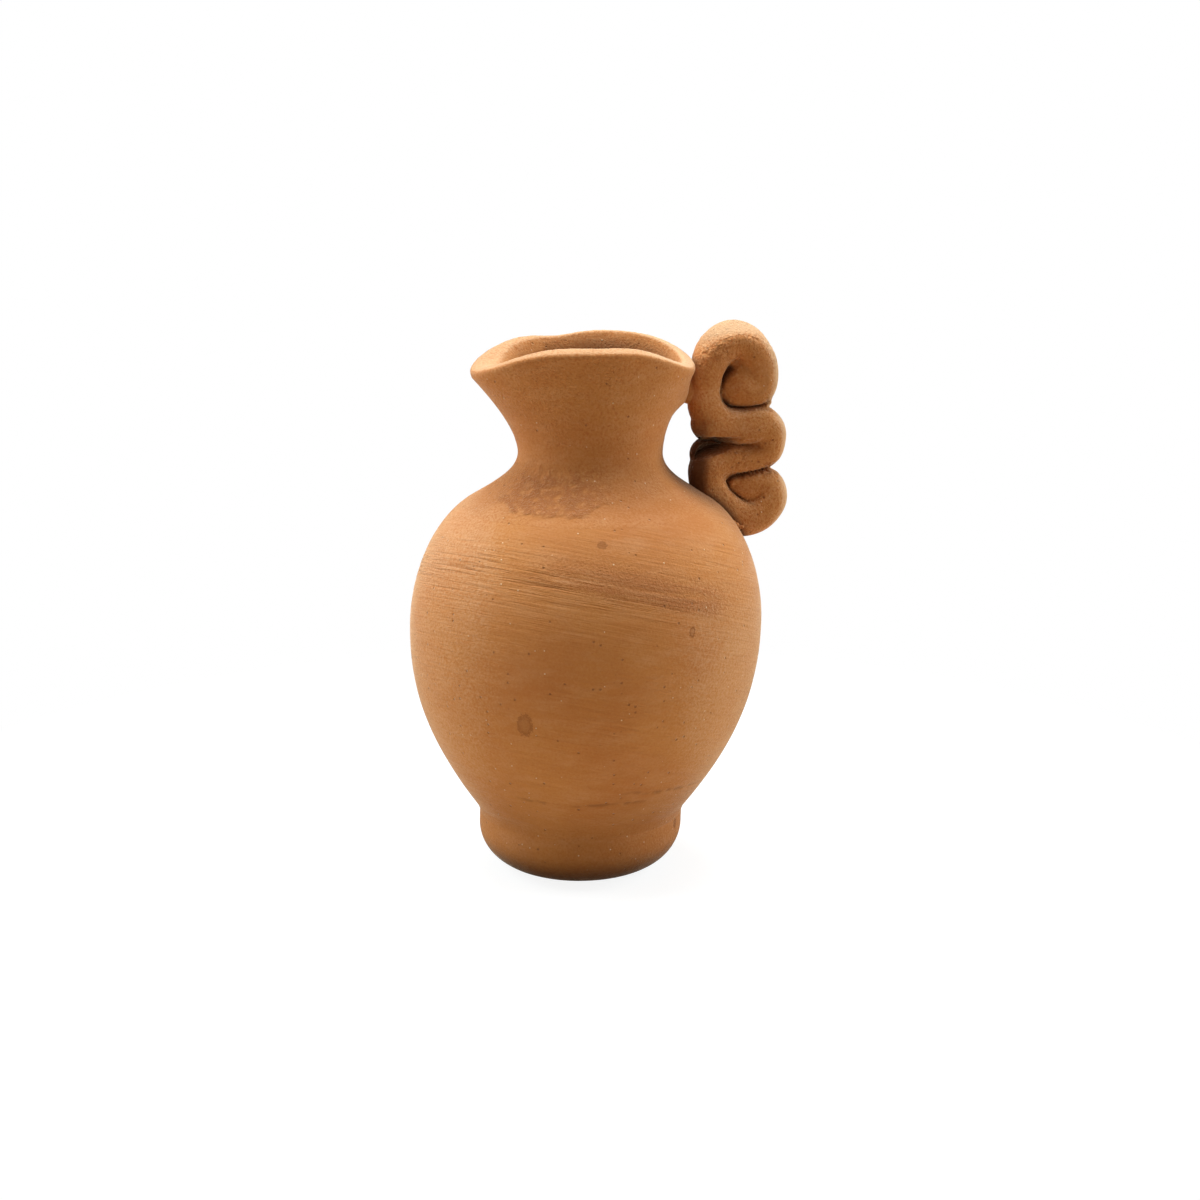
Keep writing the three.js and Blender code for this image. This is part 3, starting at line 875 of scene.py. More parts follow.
class JUG_OT_belly(bpy.types.Operator):
    """Throw the hollow belly and drag the trimming tool across its shoulder."""

    bl_idname = "jug.belly"
    bl_label = "Belly"

    def execute(self, context):
        form, marks, colours = context.scene.jug_form, context.scene.jug_marks, context.scene.jug_colours
        outside = between(outer_wall(form), form.base_height, form.seat_height)
        floor = form.base_height + form.floor_thickness
        inside = inner_wall(form)
        side = between(inside, floor + form.floor_round, form.seat_height)
        corner = upright(crossing(inside, floor).x, floor)
        flat = corner - Vector((form.floor_round, 0, 0))
        bend = interpolate_bezier(side[0], corner, corner, flat, ROUND_ROWS)
        outline = [upright(0, form.base_height), *outside, *reversed(side), *bend[1:], upright(0, floor)]
        bm = turned(outline, BELLY_SIDES)
        lean_over(bm, form)
        bm.normal_update()
        darkened, washed, dragged, lightened = [], [], [], []
        coil = coil_tree(form, context.scene.jug_handle)
        for vert in bm.verts:
            at, outward = vert.co.copy(), vert.normal.copy()
            vert.co += outward * marks.swell * swell(at) * side_share(outward, BELLY_SHARPNESS)
            mark, density = 0.0, 0.0
            if faces_out(vert):
                drag, density = drag_marks(at)
                score = score_marks(at, form)
                vert.co -= outward * (marks.drag * drag + marks.score * score)
                # Painted shade in the tool's grooves, the scored lines, the gap by the neck and the corner
                # under the coil.
                mark = DRAG_SHADE * drag + SCORE_SHADE * score + wall_shade(at, form, coil)
            darkened.append(mark)
            # Painted highlight on the sides and left shoulder.
            lightened.append(side_highlight(at, form))
            dragged.append(density)
            washed.append(drag_wash(at))
        layers = {"marks": darkened, "wash": washed, "drag": dragged, "painted_highlight": lightened}
        material = fired_clay(
            "belly_terracotta", colours, clouds=0.6, grain=0.34, lines=0.75, tilt=DRAG_TILT,
            spots=IRON_SPOTS, layers=layers)
        finish_piece(bm, "belly_wall", material, "belly", layers)
        return {"FINISHED"}


# Lower edge of the smear round the neck: azimuth in degrees and height in millimetres.
SMEAR_EDGE = (
    (-180, 55.2), (-150, 54.6), (-133, 54.1), (-113, 53.6), (-103, 53.9), (-94, 54.4), (-84, 55.2),
    (-60, 55.7), (-30, 55.6), (20, 55.0), (70, 54.4), (120, 55.0), (180, 55.2),
)
SMEAR_EDGE_SOFT = 0.4 * MM
# How far its top lies over the waist and fades, how far both edges are ragged, and by which lumps: size in
# millimetres and share.
SMEAR_TOP = 0.8 * MM
SMEAR_TOP_FADE = 4 * MM
SMEAR_EDGE_RAGGED = 0.5 * MM
SMEAR_TOP_RAGGED = 1.2 * MM
SMEAR_LUMPS = ((2.4, 1.2), (0.8, 0.8))
# The azimuths between which the slip was left, and the share left everywhere else.
SMEAR_FULL = ((-165, -135), (-95, -62))
SMEAR_LEAST = 0.15
# The skin of slip: its ends, its thickness, and how it thins out and dips under its neighbours at the ends.
SKIN_LOW = 52.2 * MM
SKIN_HIGH = 63.5 * MM
SKIN_THICKNESS = 0.5 * MM
SKIN_MARGIN = 1.2 * MM
SKIN_PROUD = 0.03 * MM
SKIN_SUNK = 0.12 * MM
SKIN_STEP = 4
# Thin places in the smear, its pebbly surface, and the heights between which the painted highlight ends.
THIN_PLACES = 0.9
THIN_FULL = (-0.8, 0.2)
PEBBLES = 0.45
PEBBLE_MEAN = 0.6
HIGHLIGHT_END = (53 * MM, 58 * MM)


def smear_level(azimuth):
    """Height of the smear's lower edge."""
    for (start, low), (end, high) in zip(SMEAR_EDGE, SMEAR_EDGE[1:]):
        if start <= azimuth <= end:
            return (low + (high - low) * (azimuth - start) / (end - start)) * MM
    return SMEAR_EDGE[-1][1] * MM


def smear_cover(at, form):
    """How fully the smear covers a point, from 0 to 1. It is wiped off towards the handle."""
    azimuth = azimuth_at(at, form)
    ragged = sum(part * wobble(at, size) for size, part in SMEAR_LUMPS)
    edge = smear_level(azimuth) + SMEAR_EDGE_RAGGED * ragged
    top = form.waist_height + SMEAR_TOP + SMEAR_TOP_RAGGED * ragged
    cover = plateau(at.z, (edge, edge + SMEAR_EDGE_SOFT), (top - SMEAR_TOP_FADE, top))
    return cover * (SMEAR_LEAST + (1 - SMEAR_LEAST) * plateau(azimuth, *SMEAR_FULL))


class JUG_OT_neck_slip(bpy.types.Operator):
    """Lute the neck with a ring of slip, smeared over the joint with a ragged lower edge."""

    bl_idname = "jug.neck_slip"
    bl_label = "Neck slip"

    def execute(self, context):
        scene = context.scene
        form, marks, colours = scene.jug_form, scene.jug_marks, scene.jug_colours
        skin = between(outer_wall(form), SKIN_LOW, SKIN_HIGH)
        back = moved(skin, lambda height: -SKIN_THICKNESS)
        inside = inner_wall(form)
        under, over = crossing(inside, form.seat_height), crossing(inside, form.neck_base)
        upper_back = [at for at in back[::SKIN_STEP] if at.z > form.neck_base]
        lower_back = [at for at in back[::SKIN_STEP] if at.z < form.seat_height]
        outline = [
            *skin, *reversed(upper_back), crossing(back, form.neck_base), over, under,
            crossing(back, form.seat_height), *reversed(lower_back),
        ]
        bm = turned(outline, NECK_SIDES, closed=True)
        for vert in bm.verts:
            vert.co = pinch(vert.co, form, scene.jug_mouth)
        lean_over(bm, form)
        bm.normal_update()
        washed, darkened, lightened = [], [], []
        coil = coil_tree(form, scene.jug_handle)
        rise, fall = (SKIN_LOW, SKIN_LOW + SKIN_MARGIN), (SKIN_HIGH - SKIN_MARGIN, SKIN_HIGH)
        for vert in bm.verts:
            at = vert.co.copy()
            # Painted shade by the coil, and painted highlight on the sides low on the skin.
            darkened.append(wall_shade(at, form, coil))
            lightened.append(side_highlight(at, form) * (1 - smooth_step(*HIGHLIGHT_END, at.z)))
            cover = smear_cover(at, form)
            washed.append(cover * smooth_step(*THIN_FULL, wobble(at, THIN_PLACES)))
            if faces_out(vert):
                margin = plateau(at.z, rise, fall)
                pebbles = PEBBLE_MEAN + (1 - PEBBLE_MEAN) * wobble(at, PEBBLES)
                proud = SKIN_PROUD * margin - SKIN_SUNK * (1 - margin) + marks.smear * cover * pebbles
                vert.co += vert.normal * (marks.swell * swell(at) + proud)
        layers = {"wash": washed, "painted_highlight": lightened, "marks": darkened}
        material = fired_clay(
            "smeared_slip", colours, clouds=0.6, grain=0.7, lines=0.3, layers=layers)
        finish_piece(bm, "neck_joint", material, "neck_slip", layers)
        return {"FINISHED"}


def pinch(at, form, mouth):
    """Where a point of the round neck goes when the mouth is pinched into its oval saddle."""
    rise = (at.z - form.waist_height) / (form.lip_height - form.waist_height)
    part = min(max(rise, 0.0), 1.0) ** mouth.draw
    azimuth = math.atan2(at.y, at.x)
    radius = math.hypot(at.x, at.y)
    radius += part * (mouth.oval * math.cos(2 * azimuth) - mouth.pour * math.cos(azimuth))
    crest = math.cos(azimuth + mouth.skew * math.cos(azimuth)) ** mouth.crest
    height = at.z + part * mouth.saddle * (1 - 2 * crest)
    end_rise = mouth.handle_rise if math.cos(azimuth) > 0 else mouth.spout_rise
    height += part * end_rise * crest
    dent = bell(azimuth - mouth.back_dip_azimuth, mouth.back_dip_reach)
    height -= part ** 3 * mouth.back_dip * dent
    return Vector((radius * math.cos(azimuth), radius * math.sin(azimuth), height))


# How far up the flare the trough starts and is full, as shares.
TROUGH_RISE = (0.35, 0.9)


def trough(at, form, mouth):
    """How far the inside of the pouring lip stands in, which makes it a broad shallow trough."""
    away = math.pi - abs(math.atan2(at.y, at.x))
    rise = (at.z - form.waist_height) / (form.lip_height - form.waist_height)
    return mouth.trough * bell(away, mouth.trough_reach) * smooth_step(*TROUGH_RISE, rise)


# How far the wall under the lip is squeezed out to the coil: height and distance in millimetres.
SQUEEZE = (
    (64.6, 0.0), (65.6, 0.25), (66.4, 1.0), (67.2, 1.7), (68.4, 1.55), (69.6, 1.0), (71.0, 0.3),
    (72.4, 0.0),
)
SQUEEZE_REACH = math.radians(17)


def squeeze(at, azimuth):
    """How far a point of the outer wall is drawn out towards the coil."""
    height = at.z / MM
    beside = bell(math.atan2(at.y, at.x) - azimuth, SQUEEZE_REACH)
    for (low, start), (high, end) in zip(SQUEEZE, SQUEEZE[1:]):
        if low <= height <= high:
            return (start + (end - start) * (height - low) / (high - low)) * MM * beside
    return 0.0


def lip_round(start, end):
    """The lip from the outer to the inner wall: a flattened round."""
    middle, half = (start + end) / 2, (start - end) / 2
    up = Vector((-half.z, 0, half.x))
    points = []
    for row in range(1, LIP_ROWS):
        turn = math.pi * row / LIP_ROWS
        sideways, upward = math.cos(turn), math.sin(turn)
        power = 2 / LIP_SQUARENESS
        points.append(
            middle + half * math.copysign(abs(sideways) ** power, sideways) + up * upward ** power)
    return points


# Where the trough is this deep, its inside is smoothed. Then, against the height of the lip, where its top
# begins and where the shade inside the mouth sets in, and that shade's strength.
SPOUT_DEPTH = 0.25 * MM
LIP_TOP = (-0.3 * MM, 0.7 * MM)
INSIDE_DEPTH = (-1.3 * MM, 0.7 * MM)
INSIDE_SHADE = 0.95
# Painted highlight on the rim's upward faces: the upward turn where it starts and is full, its share on the
# left, and where it gets full towards the handle. The rim is crumbly too.
RIM_TURN = (0.3, 0.9)
RIM_HIGHLIGHT = 0.75
RIM_HIGHLIGHT_RIGHT = (6 * MM, 13 * MM)
RIM_CRUMBS = 0.7
RIM_CRUMB_SHARE = 0.5


class JUG_OT_neck(bpy.types.Operator):
    """Throw the neck and pinch its mouth into a pouring lip."""

    bl_idname = "jug.neck"
    bl_label = "Neck and lip"

    def execute(self, context):
        scene = context.scene
        form, mouth, marks, colours = scene.jug_form, scene.jug_mouth, scene.jug_marks, scene.jug_colours
        wall = outer_wall(form)
        outside = [crossing(wall, form.neck_base), *(at for at in wall if at.z > form.neck_base)]
        inner = inner_wall(form)
        inside = [crossing(inner, form.neck_base), *(at for at in inner if at.z > form.neck_base)]
        lip = lip_round(outside[-1], inside[-1])
        bm = turned([*outside, *lip, *reversed(inside)], NECK_SIDES, closed=True)
        bm.normal_update()
        inside_lip = [
            not faces_out(vert) and trough(vert.co, form, mouth) > SPOUT_DEPTH for vert in bm.verts]
        on_lip = [smooth_step(*LIP_TOP, vert.co.z - form.lip_height) for vert in bm.verts]
        depths = [smooth_step(*INSIDE_DEPTH, form.lip_height - vert.co.z) for vert in bm.verts]
        for vert in bm.verts:
            inward = 0.0 if faces_out(vert) else trough(vert.co, form, mouth)
            at = vert.co - Vector((vert.co.x, vert.co.y, 0)).normalized() * inward
            pinched = pinch(at, form, mouth)
            if faces_out(vert):
                pinched += Vector((at.x, at.y, 0)).normalized() * squeeze(pinched, scene.jug_handle.azimuth)
            vert.co = pinched
        soften(bm, [vert for vert, deep in zip(bm.verts, inside_lip) if deep], SPOUT_SMOOTHING)
        lean_over(bm, form)
        bm.normal_update()
        lightened, darkened = [], []
        for vert, lip_share, depth in zip(bm.verts, on_lip, depths):
            # Painted highlight on the rim's upward faces, and painted shade inside the mouth.
            rim_highlight_share = RIM_HIGHLIGHT + (1 - RIM_HIGHLIGHT) * smooth_step(*RIM_HIGHLIGHT_RIGHT, vert.co.x)
            lightened.append(smooth_step(*RIM_TURN, vert.normal.z) * lip_share * rim_highlight_share)
            darkened.append(0.0 if faces_out(vert) else INSIDE_SHADE * depth)
            crumbly = RIM_CRUMB_SHARE * max(vert.normal.z, 0.0) * wobble(vert.co, RIM_CRUMBS)
            vert.co += vert.normal * marks.swell * (swell(vert.co) + crumbly)
        layers = {"painted_highlight": lightened, "marks": darkened}
        material = fired_clay(
            "neck_terracotta", colours, clouds=0.6, grain=0.85, lines=0.25, layers=layers)
        finish_piece(bm, "neck_and_lip", material, "neck", layers)
        return {"FINISHED"}


# The folded coil in its own upright plane: distance from the axis, height, radius and place across the
# plane in millimetres, from the tip of the upper curl to the tip of the lower one.
COIL_PATH = (
    (22.2, 68.9, 2.7, 0.1), (23.9, 68.5, 2.7, 0.1), (24.5, 70.0, 2.65, 0.0), (24.1, 72.4, 2.7, 0.0),
    (22.5, 74.9, 2.8, 0.0), (20.2, 75.65, 2.9, 0.0), (17.9, 74.2, 2.8, 0.0), (16.8, 71.5, 2.55, -0.1),
    (16.5, 68.7, 2.35, -0.2), (16.75, 66.0, 2.6, -0.3), (18.7, 63.8, 2.6, -0.4), (21.6, 63.3, 2.6, -0.4),
    (24.3, 63.5, 2.85, -0.3), (25.95, 62.5, 2.65, -0.1), (26.3, 61.0, 2.45, 0.0), (25.8, 59.4, 2.35, 0.1),
    (23.4, 58.6, 2.25, 0.2), (20.0, 58.5, 2.4, 0.2), (17.6, 57.6, 2.75, 0.15), (17.3, 55.7, 2.6, 0.0),
    (18.1, 53.6, 2.75, -0.1), (20.2, 51.2, 2.85, -0.1), (22.7, 50.1, 2.9, 0.0), (25.1, 50.6, 2.8, 0.0),
    (26.65, 52.6, 2.75, 0.1), (26.2, 54.6, 2.5, 0.1), (24.3, 54.9, 2.2, 0.1), (23.0, 54.7, 2.0, 0.1),
)
# Where the folds are squeezed together: distance, height, the two half sizes in the plane, the half
# thickness and the place across it.
COIL_LUMPS = (
    (22.5, 69.5, 4.15, 4.1, 2.3, 0.15), (23.6, 54.6, 3.6, 2.45, 2.1, 0.2),
    (17.6, 59.3, 2.75, 2.65, 1.6, 0.75), (17.3, 63.8, 2.75, 2.6, 2.4, -0.3),
    (24.6, 66.9, 1.8, 1.6, 1.9, 0.1), (20.9, 55.6, 1.3, 1.2, 1.8, 0.2),
)
# The slope pressed on top of the upper curl: its centre, the coil's middle radius there, how deep the slope
# lies over that middle, and the slope's tilt.
CURL_CENTRE = (20.7, 71.0)
CURL_RADIUS = 4.4
CURL_SLOPE_DEPTH = 2.2
CURL_SLOPE_SOFT = 0.5
CURL_SLOPE_TILT = math.radians(62)
# Where that slope sets in: the upward turn and the distance from the curl's centre.
CURL_SLOPE_TURN = (0.25, 0.75)
CURL_SLOPE_REACH = (2.0, 3.5)
# The curl's top is pressed less: between which heights, and how much thicker it stays. What stands out past
# the pressed thickness keeps a share.
CURL_TOP = (72, 75.5)
CURL_TOP_EXTRA = 0.25
PROUD_SHARE = 0.4
# The coil's unevenness: its strength and its fineness against the wall's.
COIL_SWELL = 0.6
COIL_SWELL_FINENESS = 1.7
# The hollow left under the upper fold, beside the neck: where its floor starts and ends, as distance and
# height, the height of its roof, its depth, how soft floor and roof are, the part of its length where it
# closes, and where it starts towards the front.
HOLLOW_START = (15.0, 58.4)
HOLLOW_END = (22.2, 60.6)
HOLLOW_ROOF = 61.7
HOLLOW_DEPTH = 2.3
HOLLOW_FLOOR_SOFT = 0.9
HOLLOW_ROOF_SOFT = 0.5
HOLLOW_CLOSING = (0.45, 1.0)
HOLLOW_FRONT = (0.0, 1.0)
# Rough, redder patches: distance, height, reach and strength. One more runs along the edge of the slope on
# the curl, at a distance from its centre, and one along the creases.
ROUGH_PATCHES = (
    (17.8, 75.0, 2.4, 0.8), (21.5, 59.3, 1.9, 0.55), (26.0, 57.0, 1.2, 0.7), (25.6, 66.6, 1.1, 0.7),
)
ROUGH_ARC = 5.6
ROUGH_ARC_REACH = 0.9
ROUGH_ARC_STRENGTH = 0.7
ROUGH_ARC_RISE = (0.0, 2.5)
ROUGH_CREASE_REACH = 1.1
ROUGH_CREASE_STRENGTH = 0.5
ROUGH_MOST = 0.9
# Height of the crumbs in these patches, their sizes and shares, and the share of them left at the outline.
ROUGH_HEIGHT = 0.32
ROUGH_CRUMBS = ((0.7, 0.5), (0.35, 0.5))
ROUGH_OUTLINE = 0.35
# Faces round the coil, steps between the points of its path, rounds of smoothing, fineness of the lumps and
# turns of the rows on its rounded ends.
COIL_SIDES = 24
COIL_STEPS = 5
COIL_SMOOTHING = 7
LUMP_DETAIL = 4
END_TURNS = tuple(math.radians(degrees) for degrees in (25, 50, 70, 84))

# Creases pressed between the folds, in the same plane: distance, height, depth and half width in
# millimetres.
CREASES = (
    ((19.83, 71.6, 1.8, 0.4), (19.03, 70.57, 1.6, 0.38), (18.64, 69.35, 1.2, 0.27),
     (18.5, 68.29, 1.1, 0.25), (18.81, 67.22, 1.1, 0.25), (19.5, 66.49, 1.1, 0.25),
     (20.63, 66.05, 1.1, 0.25), (22.49, 65.95, 1.0, 0.25), (24.34, 66.24, 0.8, 0.25),
     (25.73, 66.76, 0.6, 0.25)),
    ((15.0, 61.6, 1.6, 0.5), (17.0, 61.5, 1.5, 0.45), (18.9, 61.1, 1.1, 0.35),
     (20.87, 60.8, 0.6, 0.25), (22.74, 60.76, 0.35, 0.25), (24.2, 60.9, 0.1, 0.25)),
    ((27.2, 57.7, 0.7, 0.3), (24.8, 56.81, 0.9, 0.28), (22.19, 56.35, 1.1, 0.28),
     (20.71, 56.05, 1.2, 0.3), (20.11, 55.28, 1.2, 0.27), (20.61, 54.18, 1.0, 0.22),
     (22.35, 52.9, 0.7, 0.2), (23.97, 52.05, 0.2, 0.2)),
)


def handle_ways(handle):
    """The directions out from the jug and across the coil's plane."""
    turn = handle.azimuth
    return Vector((math.cos(turn), math.sin(turn), 0)), Vector((-math.sin(turn), math.cos(turn), 0))


def handle_place(form, handle, distance, height, aside=0.0):
    """A point of the coil's plane, or beside it, given in millimetres."""
    _, across = handle_ways(handle)
    middle = Vector((
        (distance * math.cos(handle.azimuth) + form.lean * height) * MM,
        distance * math.sin(handle.azimuth) * MM, height * MM))
    return middle + across * aside * MM


def smooth_path(points):
    """A smooth line through the points, with the values that go with them."""
    points = [Vector(at) for at in points]
    ends = [points[0], *points, points[-1]]
    result = []
    for before, start, end, after in zip(ends, points, points[1:], ends[3:]):
        for step in range(COIL_STEPS):
            part = step / COIL_STEPS
            bend = 2 * before - 5 * start + 4 * end - after
            twist = 3 * (start - end) + after - before
            result.append(start + (end - before + bend * part + twist * part ** 2) * part / 2)
    return [*result, points[-1]]


def rounded_ends(stations):
    """The stations with a half ball added at both ends, as place, direction and radius."""

    def ball(place, way, radius, side):
        return [
            (place + way * side * radius * math.sin(turn), way, radius * math.cos(turn))
            for turn in END_TURNS
        ]

    return [*reversed(ball(*stations[0], -1)), *stations, *ball(*stations[-1], 1)]


def draw_out(bm, sides, matrices):
    """A closed solid made by drawing a disc out from station to station."""
    disc = bmesh.ops.create_circle(bm, cap_ends=True, radius=1.0, segments=sides)["verts"]
    cap = disc[0].link_faces[0]
    bmesh.ops.transform(bm, matrix=matrices[0], verts=disc)
    for before, after in zip(matrices, matrices[1:]):
        drawn = bmesh.ops.extrude_face_region(bm, geom=[cap])["geom"]
        cap = next(part for part in drawn if isinstance(part, bmesh.types.BMFace))
        verts = [part for part in drawn if isinstance(part, bmesh.types.BMVert)]
        bmesh.ops.transform(bm, matrix=after @ before.inverted(), verts=verts)


def roll_coil(bm, form, handle):
    """Rolls a round coil along its path."""
    _, across = handle_ways(handle)
    path = smooth_path(COIL_PATH)
    places = [handle_place(form, handle, at[0], at[1], at[3]) for at in path]
    ends = [places[0], *places, places[-1]]
    ways = [(after - before).normalized() for before, after in zip(ends, ends[2:])]
    stations = rounded_ends(list(zip(places, ways, [at[2] * MM for at in path])))
    matrices = []
    for place, way, radius in stations:
        turn = Matrix((across.cross(way), across, way)).transposed().to_4x4()
        matrices.append(Matrix.Translation(place) @ turn @ Matrix.Scale(radius, 4))
    draw_out(bm, COIL_SIDES, matrices)


def knead(bm, voxel):
    """Kneads the coil's folds into one skin of even faces."""
    mesh = bpy.data.meshes.new("kneading")
    bmesh.ops.recalc_face_normals(bm, faces=bm.faces)
    bm.to_mesh(mesh)
    lump = bpy.data.objects.new("kneading", mesh)
    bpy.context.scene.collection.objects.link(lump)
    remesh = lump.modifiers.new("knead", "REMESH")
    remesh.mode = "VOXEL"
    remesh.voxel_size = voxel
    graph = bpy.context.evaluated_depsgraph_get()
    skin = bpy.data.meshes.new_from_object(lump.evaluated_get(graph))
    bm.clear()
    bm.from_mesh(skin)
    bpy.data.objects.remove(lump)
    bpy.data.meshes.remove(mesh)
    bpy.data.meshes.remove(skin)
    soften(bm, bm.verts, COIL_SMOOTHING)


def curl_press(distance, height, front):
    """How far the top of the upper curl is pressed in, and its direction out and up, in millimetres."""
    out, up = distance - CURL_CENTRE[0], height - CURL_CENTRE[1]
    span = math.hypot(out, up)
    over = (span - CURL_RADIUS) * math.sin(CURL_SLOPE_TILT) + front * math.cos(CURL_SLOPE_TILT)
    strength = smooth_step(*CURL_SLOPE_TURN, up / span) * smooth_step(*CURL_SLOPE_REACH, span)
    depth = over - CURL_SLOPE_DEPTH
    return (depth + math.hypot(depth, CURL_SLOPE_SOFT)) / 2 * strength, out / span, up / span


def in_hollow(distance, height):
    """Whether a point of the coil's plane lies in the hollow under the upper fold, from 0 to 1."""
    part = (distance - HOLLOW_START[0]) / (HOLLOW_END[0] - HOLLOW_START[0])
    floor = HOLLOW_START[1] + (HOLLOW_END[1] - HOLLOW_START[1]) * part
    room = plateau(
        height, (floor, floor + HOLLOW_FLOOR_SOFT), (HOLLOW_ROOF, HOLLOW_ROOF + HOLLOW_ROOF_SOFT))
    return room * (1 - smooth_step(*HOLLOW_CLOSING, part))


def crumbliness(distance, height):
    """How crumbly the coil was left at a point of its plane, from 0 to 1."""
    out, up = distance - CURL_CENTRE[0], height - CURL_CENTRE[1]
    edge = bell(math.hypot(out, up) - ROUGH_ARC, ROUGH_ARC_REACH)
    rough = ROUGH_ARC_STRENGTH * edge * smooth_step(*ROUGH_ARC_RISE, up)
    for patch_out, patch_up, reach, strength in ROUGH_PATCHES:
        away = math.hypot(distance - patch_out, height - patch_up)
        rough = max(rough, strength * bell(away, reach))
    return rough


def crease_tree():
    """All points of the creases, with their depths and half widths in millimetres."""
    points = [at for line in CREASES for at in smooth_path(line)]
    return point_tree([(at[0], at[1], 0) for at in points]), [(at[2], at[3]) for at in points]


# Painted shade on the coil: strengths in the creases, in the hollow, on the side turned to the neck and in
# the corner at the wall, and where the last three lie.
CREASE_SHADE = 1.45
HOLLOW_SHADE = 1.6
HOLLOW_SHADE_FRONT = (-2.5, -0.5)
FLANK_SHADE = 1.4
FLANK_SHADE_TURN = (-0.1, 0.6)
FLANK_SHADE_DISTANCE = (18.2, 16.0)
FLANK_SHADE_HEIGHT = ((51, 53), (61, 67))
CORNER_SHADE = 1.4
CORNER_REACH = 0.75 * MM
# Slip on the rough patches, thin in places and rubbed off on the tops.
SLIP_PLACES = 0.8
SLIP_FULL = (-0.3, 0.35)
SLIP_RUBBED = (0.4, 0.85, 0.8)
# Painted highlight on the coil's tops, fuller up the curl, and on its outer side, fuller away from the jug:
# the turns where it starts and is full, its least share, and the places between which that gets full.
TOP_HIGHLIGHT = ((0.05, 0.9), 0.55, (70, 75))
OUTER_HIGHLIGHT = ((0.1, 0.85), 0.4, (21, 24))


def coil_highlight(turn, place, turns, least, places):
    """Painted highlight on one side of the coil, from 0 to 1."""
    return smooth_step(*turns, turn) * (least + (1 - least) * smooth_step(*places, place))


def pressed_flat(aside, height, handle):
    """How far from its middle plane a point of the coil lies once fingers pressed it flat."""
    press = handle.press * (1 + CURL_TOP_EXTRA * smooth_step(*CURL_TOP, height))
    proud = abs(aside) / press
    return press * (proud ** handle.squareness if proud < 1 else 1 + PROUD_SHARE * (proud - 1))


class JUG_OT_handle(bpy.types.Operator):
    """Roll a coil, fold it back and forth and press its folds together."""

    bl_idname = "jug.handle"
    bl_label = "Folded handle"

    def execute(self, context):
        scene = context.scene
        form, handle, marks, colours = scene.jug_form, scene.jug_handle, scene.jug_marks, scene.jug_colours
        out, across = handle_ways(handle)
        bm = bmesh.new()
        roll_coil(bm, form, handle)
        turn = Matrix.Rotation(handle.azimuth, 4, "Z")
        for distance, height, half_out, half_up, half_across, aside in COIL_LUMPS:
            place = Matrix.Translation(handle_place(form, handle, distance, height, aside))
            size = Matrix.Diagonal((half_out * MM, half_across * MM, half_up * MM, 1))
            bmesh.ops.create_icosphere(
                bm, subdivisions=LUMP_DETAIL, radius=1.0, matrix=place @ turn @ size)
        knead(bm, handle.voxel)
        bm.normal_update()
        tree, creases = crease_tree()
        wall = point_tree(outer_wall(form))
        darkened, lightened, washed = [], [], []
        for vert in bm.verts:
            at, normal = vert.co.copy(), vert.normal.copy()
            upright_at = at - Vector((form.lean * at.z, 0, 0))
            aside = upright_at.dot(across)
            distance, height, front = upright_at.dot(out) / MM, at.z / MM, -aside / MM
            facing, outward = abs(normal.dot(across)), normal.dot(out)

            _, index, gap = tree.find((distance, height, 0))
            depth, width = creases[index]
            groove = bell(gap, width) * depth
            hollow = in_hollow(distance, height)
            carved = max(groove * facing, HOLLOW_DEPTH * hollow * smooth_step(*HOLLOW_FRONT, front))
            flat = pressed_flat(aside, height, handle)
            inward = math.copysign(1, aside) * (abs(aside) - flat + carved * MM)
            uneven = normal * marks.swell * COIL_SWELL * swell(at * COIL_SWELL_FINENESS)
            vert.co = at - across * inward + uneven
            pressed, way_out, way_up = curl_press(distance, height, -math.copysign(flat, aside) / MM)
            slope_way = (out * way_out + Vector((0, 0, way_up))) * math.sin(CURL_SLOPE_TILT)
            vert.co -= (slope_way - across * math.cos(CURL_SLOPE_TILT)) * pressed * MM
            torn = ROUGH_CREASE_STRENGTH * bell(gap, ROUGH_CREASE_REACH)
            rough = min(crumbliness(distance, height) + torn, ROUGH_MOST)
            crumbs = sum(part * wobble(at, size) for size, part in ROUGH_CRUMBS)
            shown = ROUGH_OUTLINE + (1 - ROUGH_OUTLINE) * facing
            vert.co += normal * ROUGH_HEIGHT * MM * rough * crumbs * shown

            # Painted shade in the creases, in the hollow, on the side turned to the neck and in the corner
            # at the wall.
            flank_shade = smooth_step(*FLANK_SHADE_TURN, -outward) * smooth_step(*FLANK_SHADE_DISTANCE, distance)
            flank_shade *= plateau(height, *FLANK_SHADE_HEIGHT)
            _, _, near = wall.find((math.hypot(upright_at.x, upright_at.y), 0, at.z))
            darkened.append(max(
                CREASE_SHADE * min(groove, 1.0) * facing,
                HOLLOW_SHADE * hollow * smooth_step(*HOLLOW_SHADE_FRONT, front),
                FLANK_SHADE * flank_shade,
                CORNER_SHADE * bell(near, CORNER_REACH)))
            slip = rough * smooth_step(*SLIP_FULL, wobble(at, SLIP_PLACES))
            washed.append(slip * (1 - step_up(normal.z, *SLIP_RUBBED)))
            # Painted highlight on the coil's tops and outer side.
            lightened.append(max(
                coil_highlight(normal.z, height, *TOP_HIGHLIGHT), coil_highlight(outward, distance, *OUTER_HIGHLIGHT)))
        layers = {"painted_highlight": lightened, "marks": darkened, "wash": washed}
        material = fired_clay(
            "handle_terracotta", colours, clouds=0.6, grain=1.1, lines=0.1, layers=layers)
        finish_piece(bm, "folded_handle", material, "handle_coil", layers)
        return {"FINISHED"}


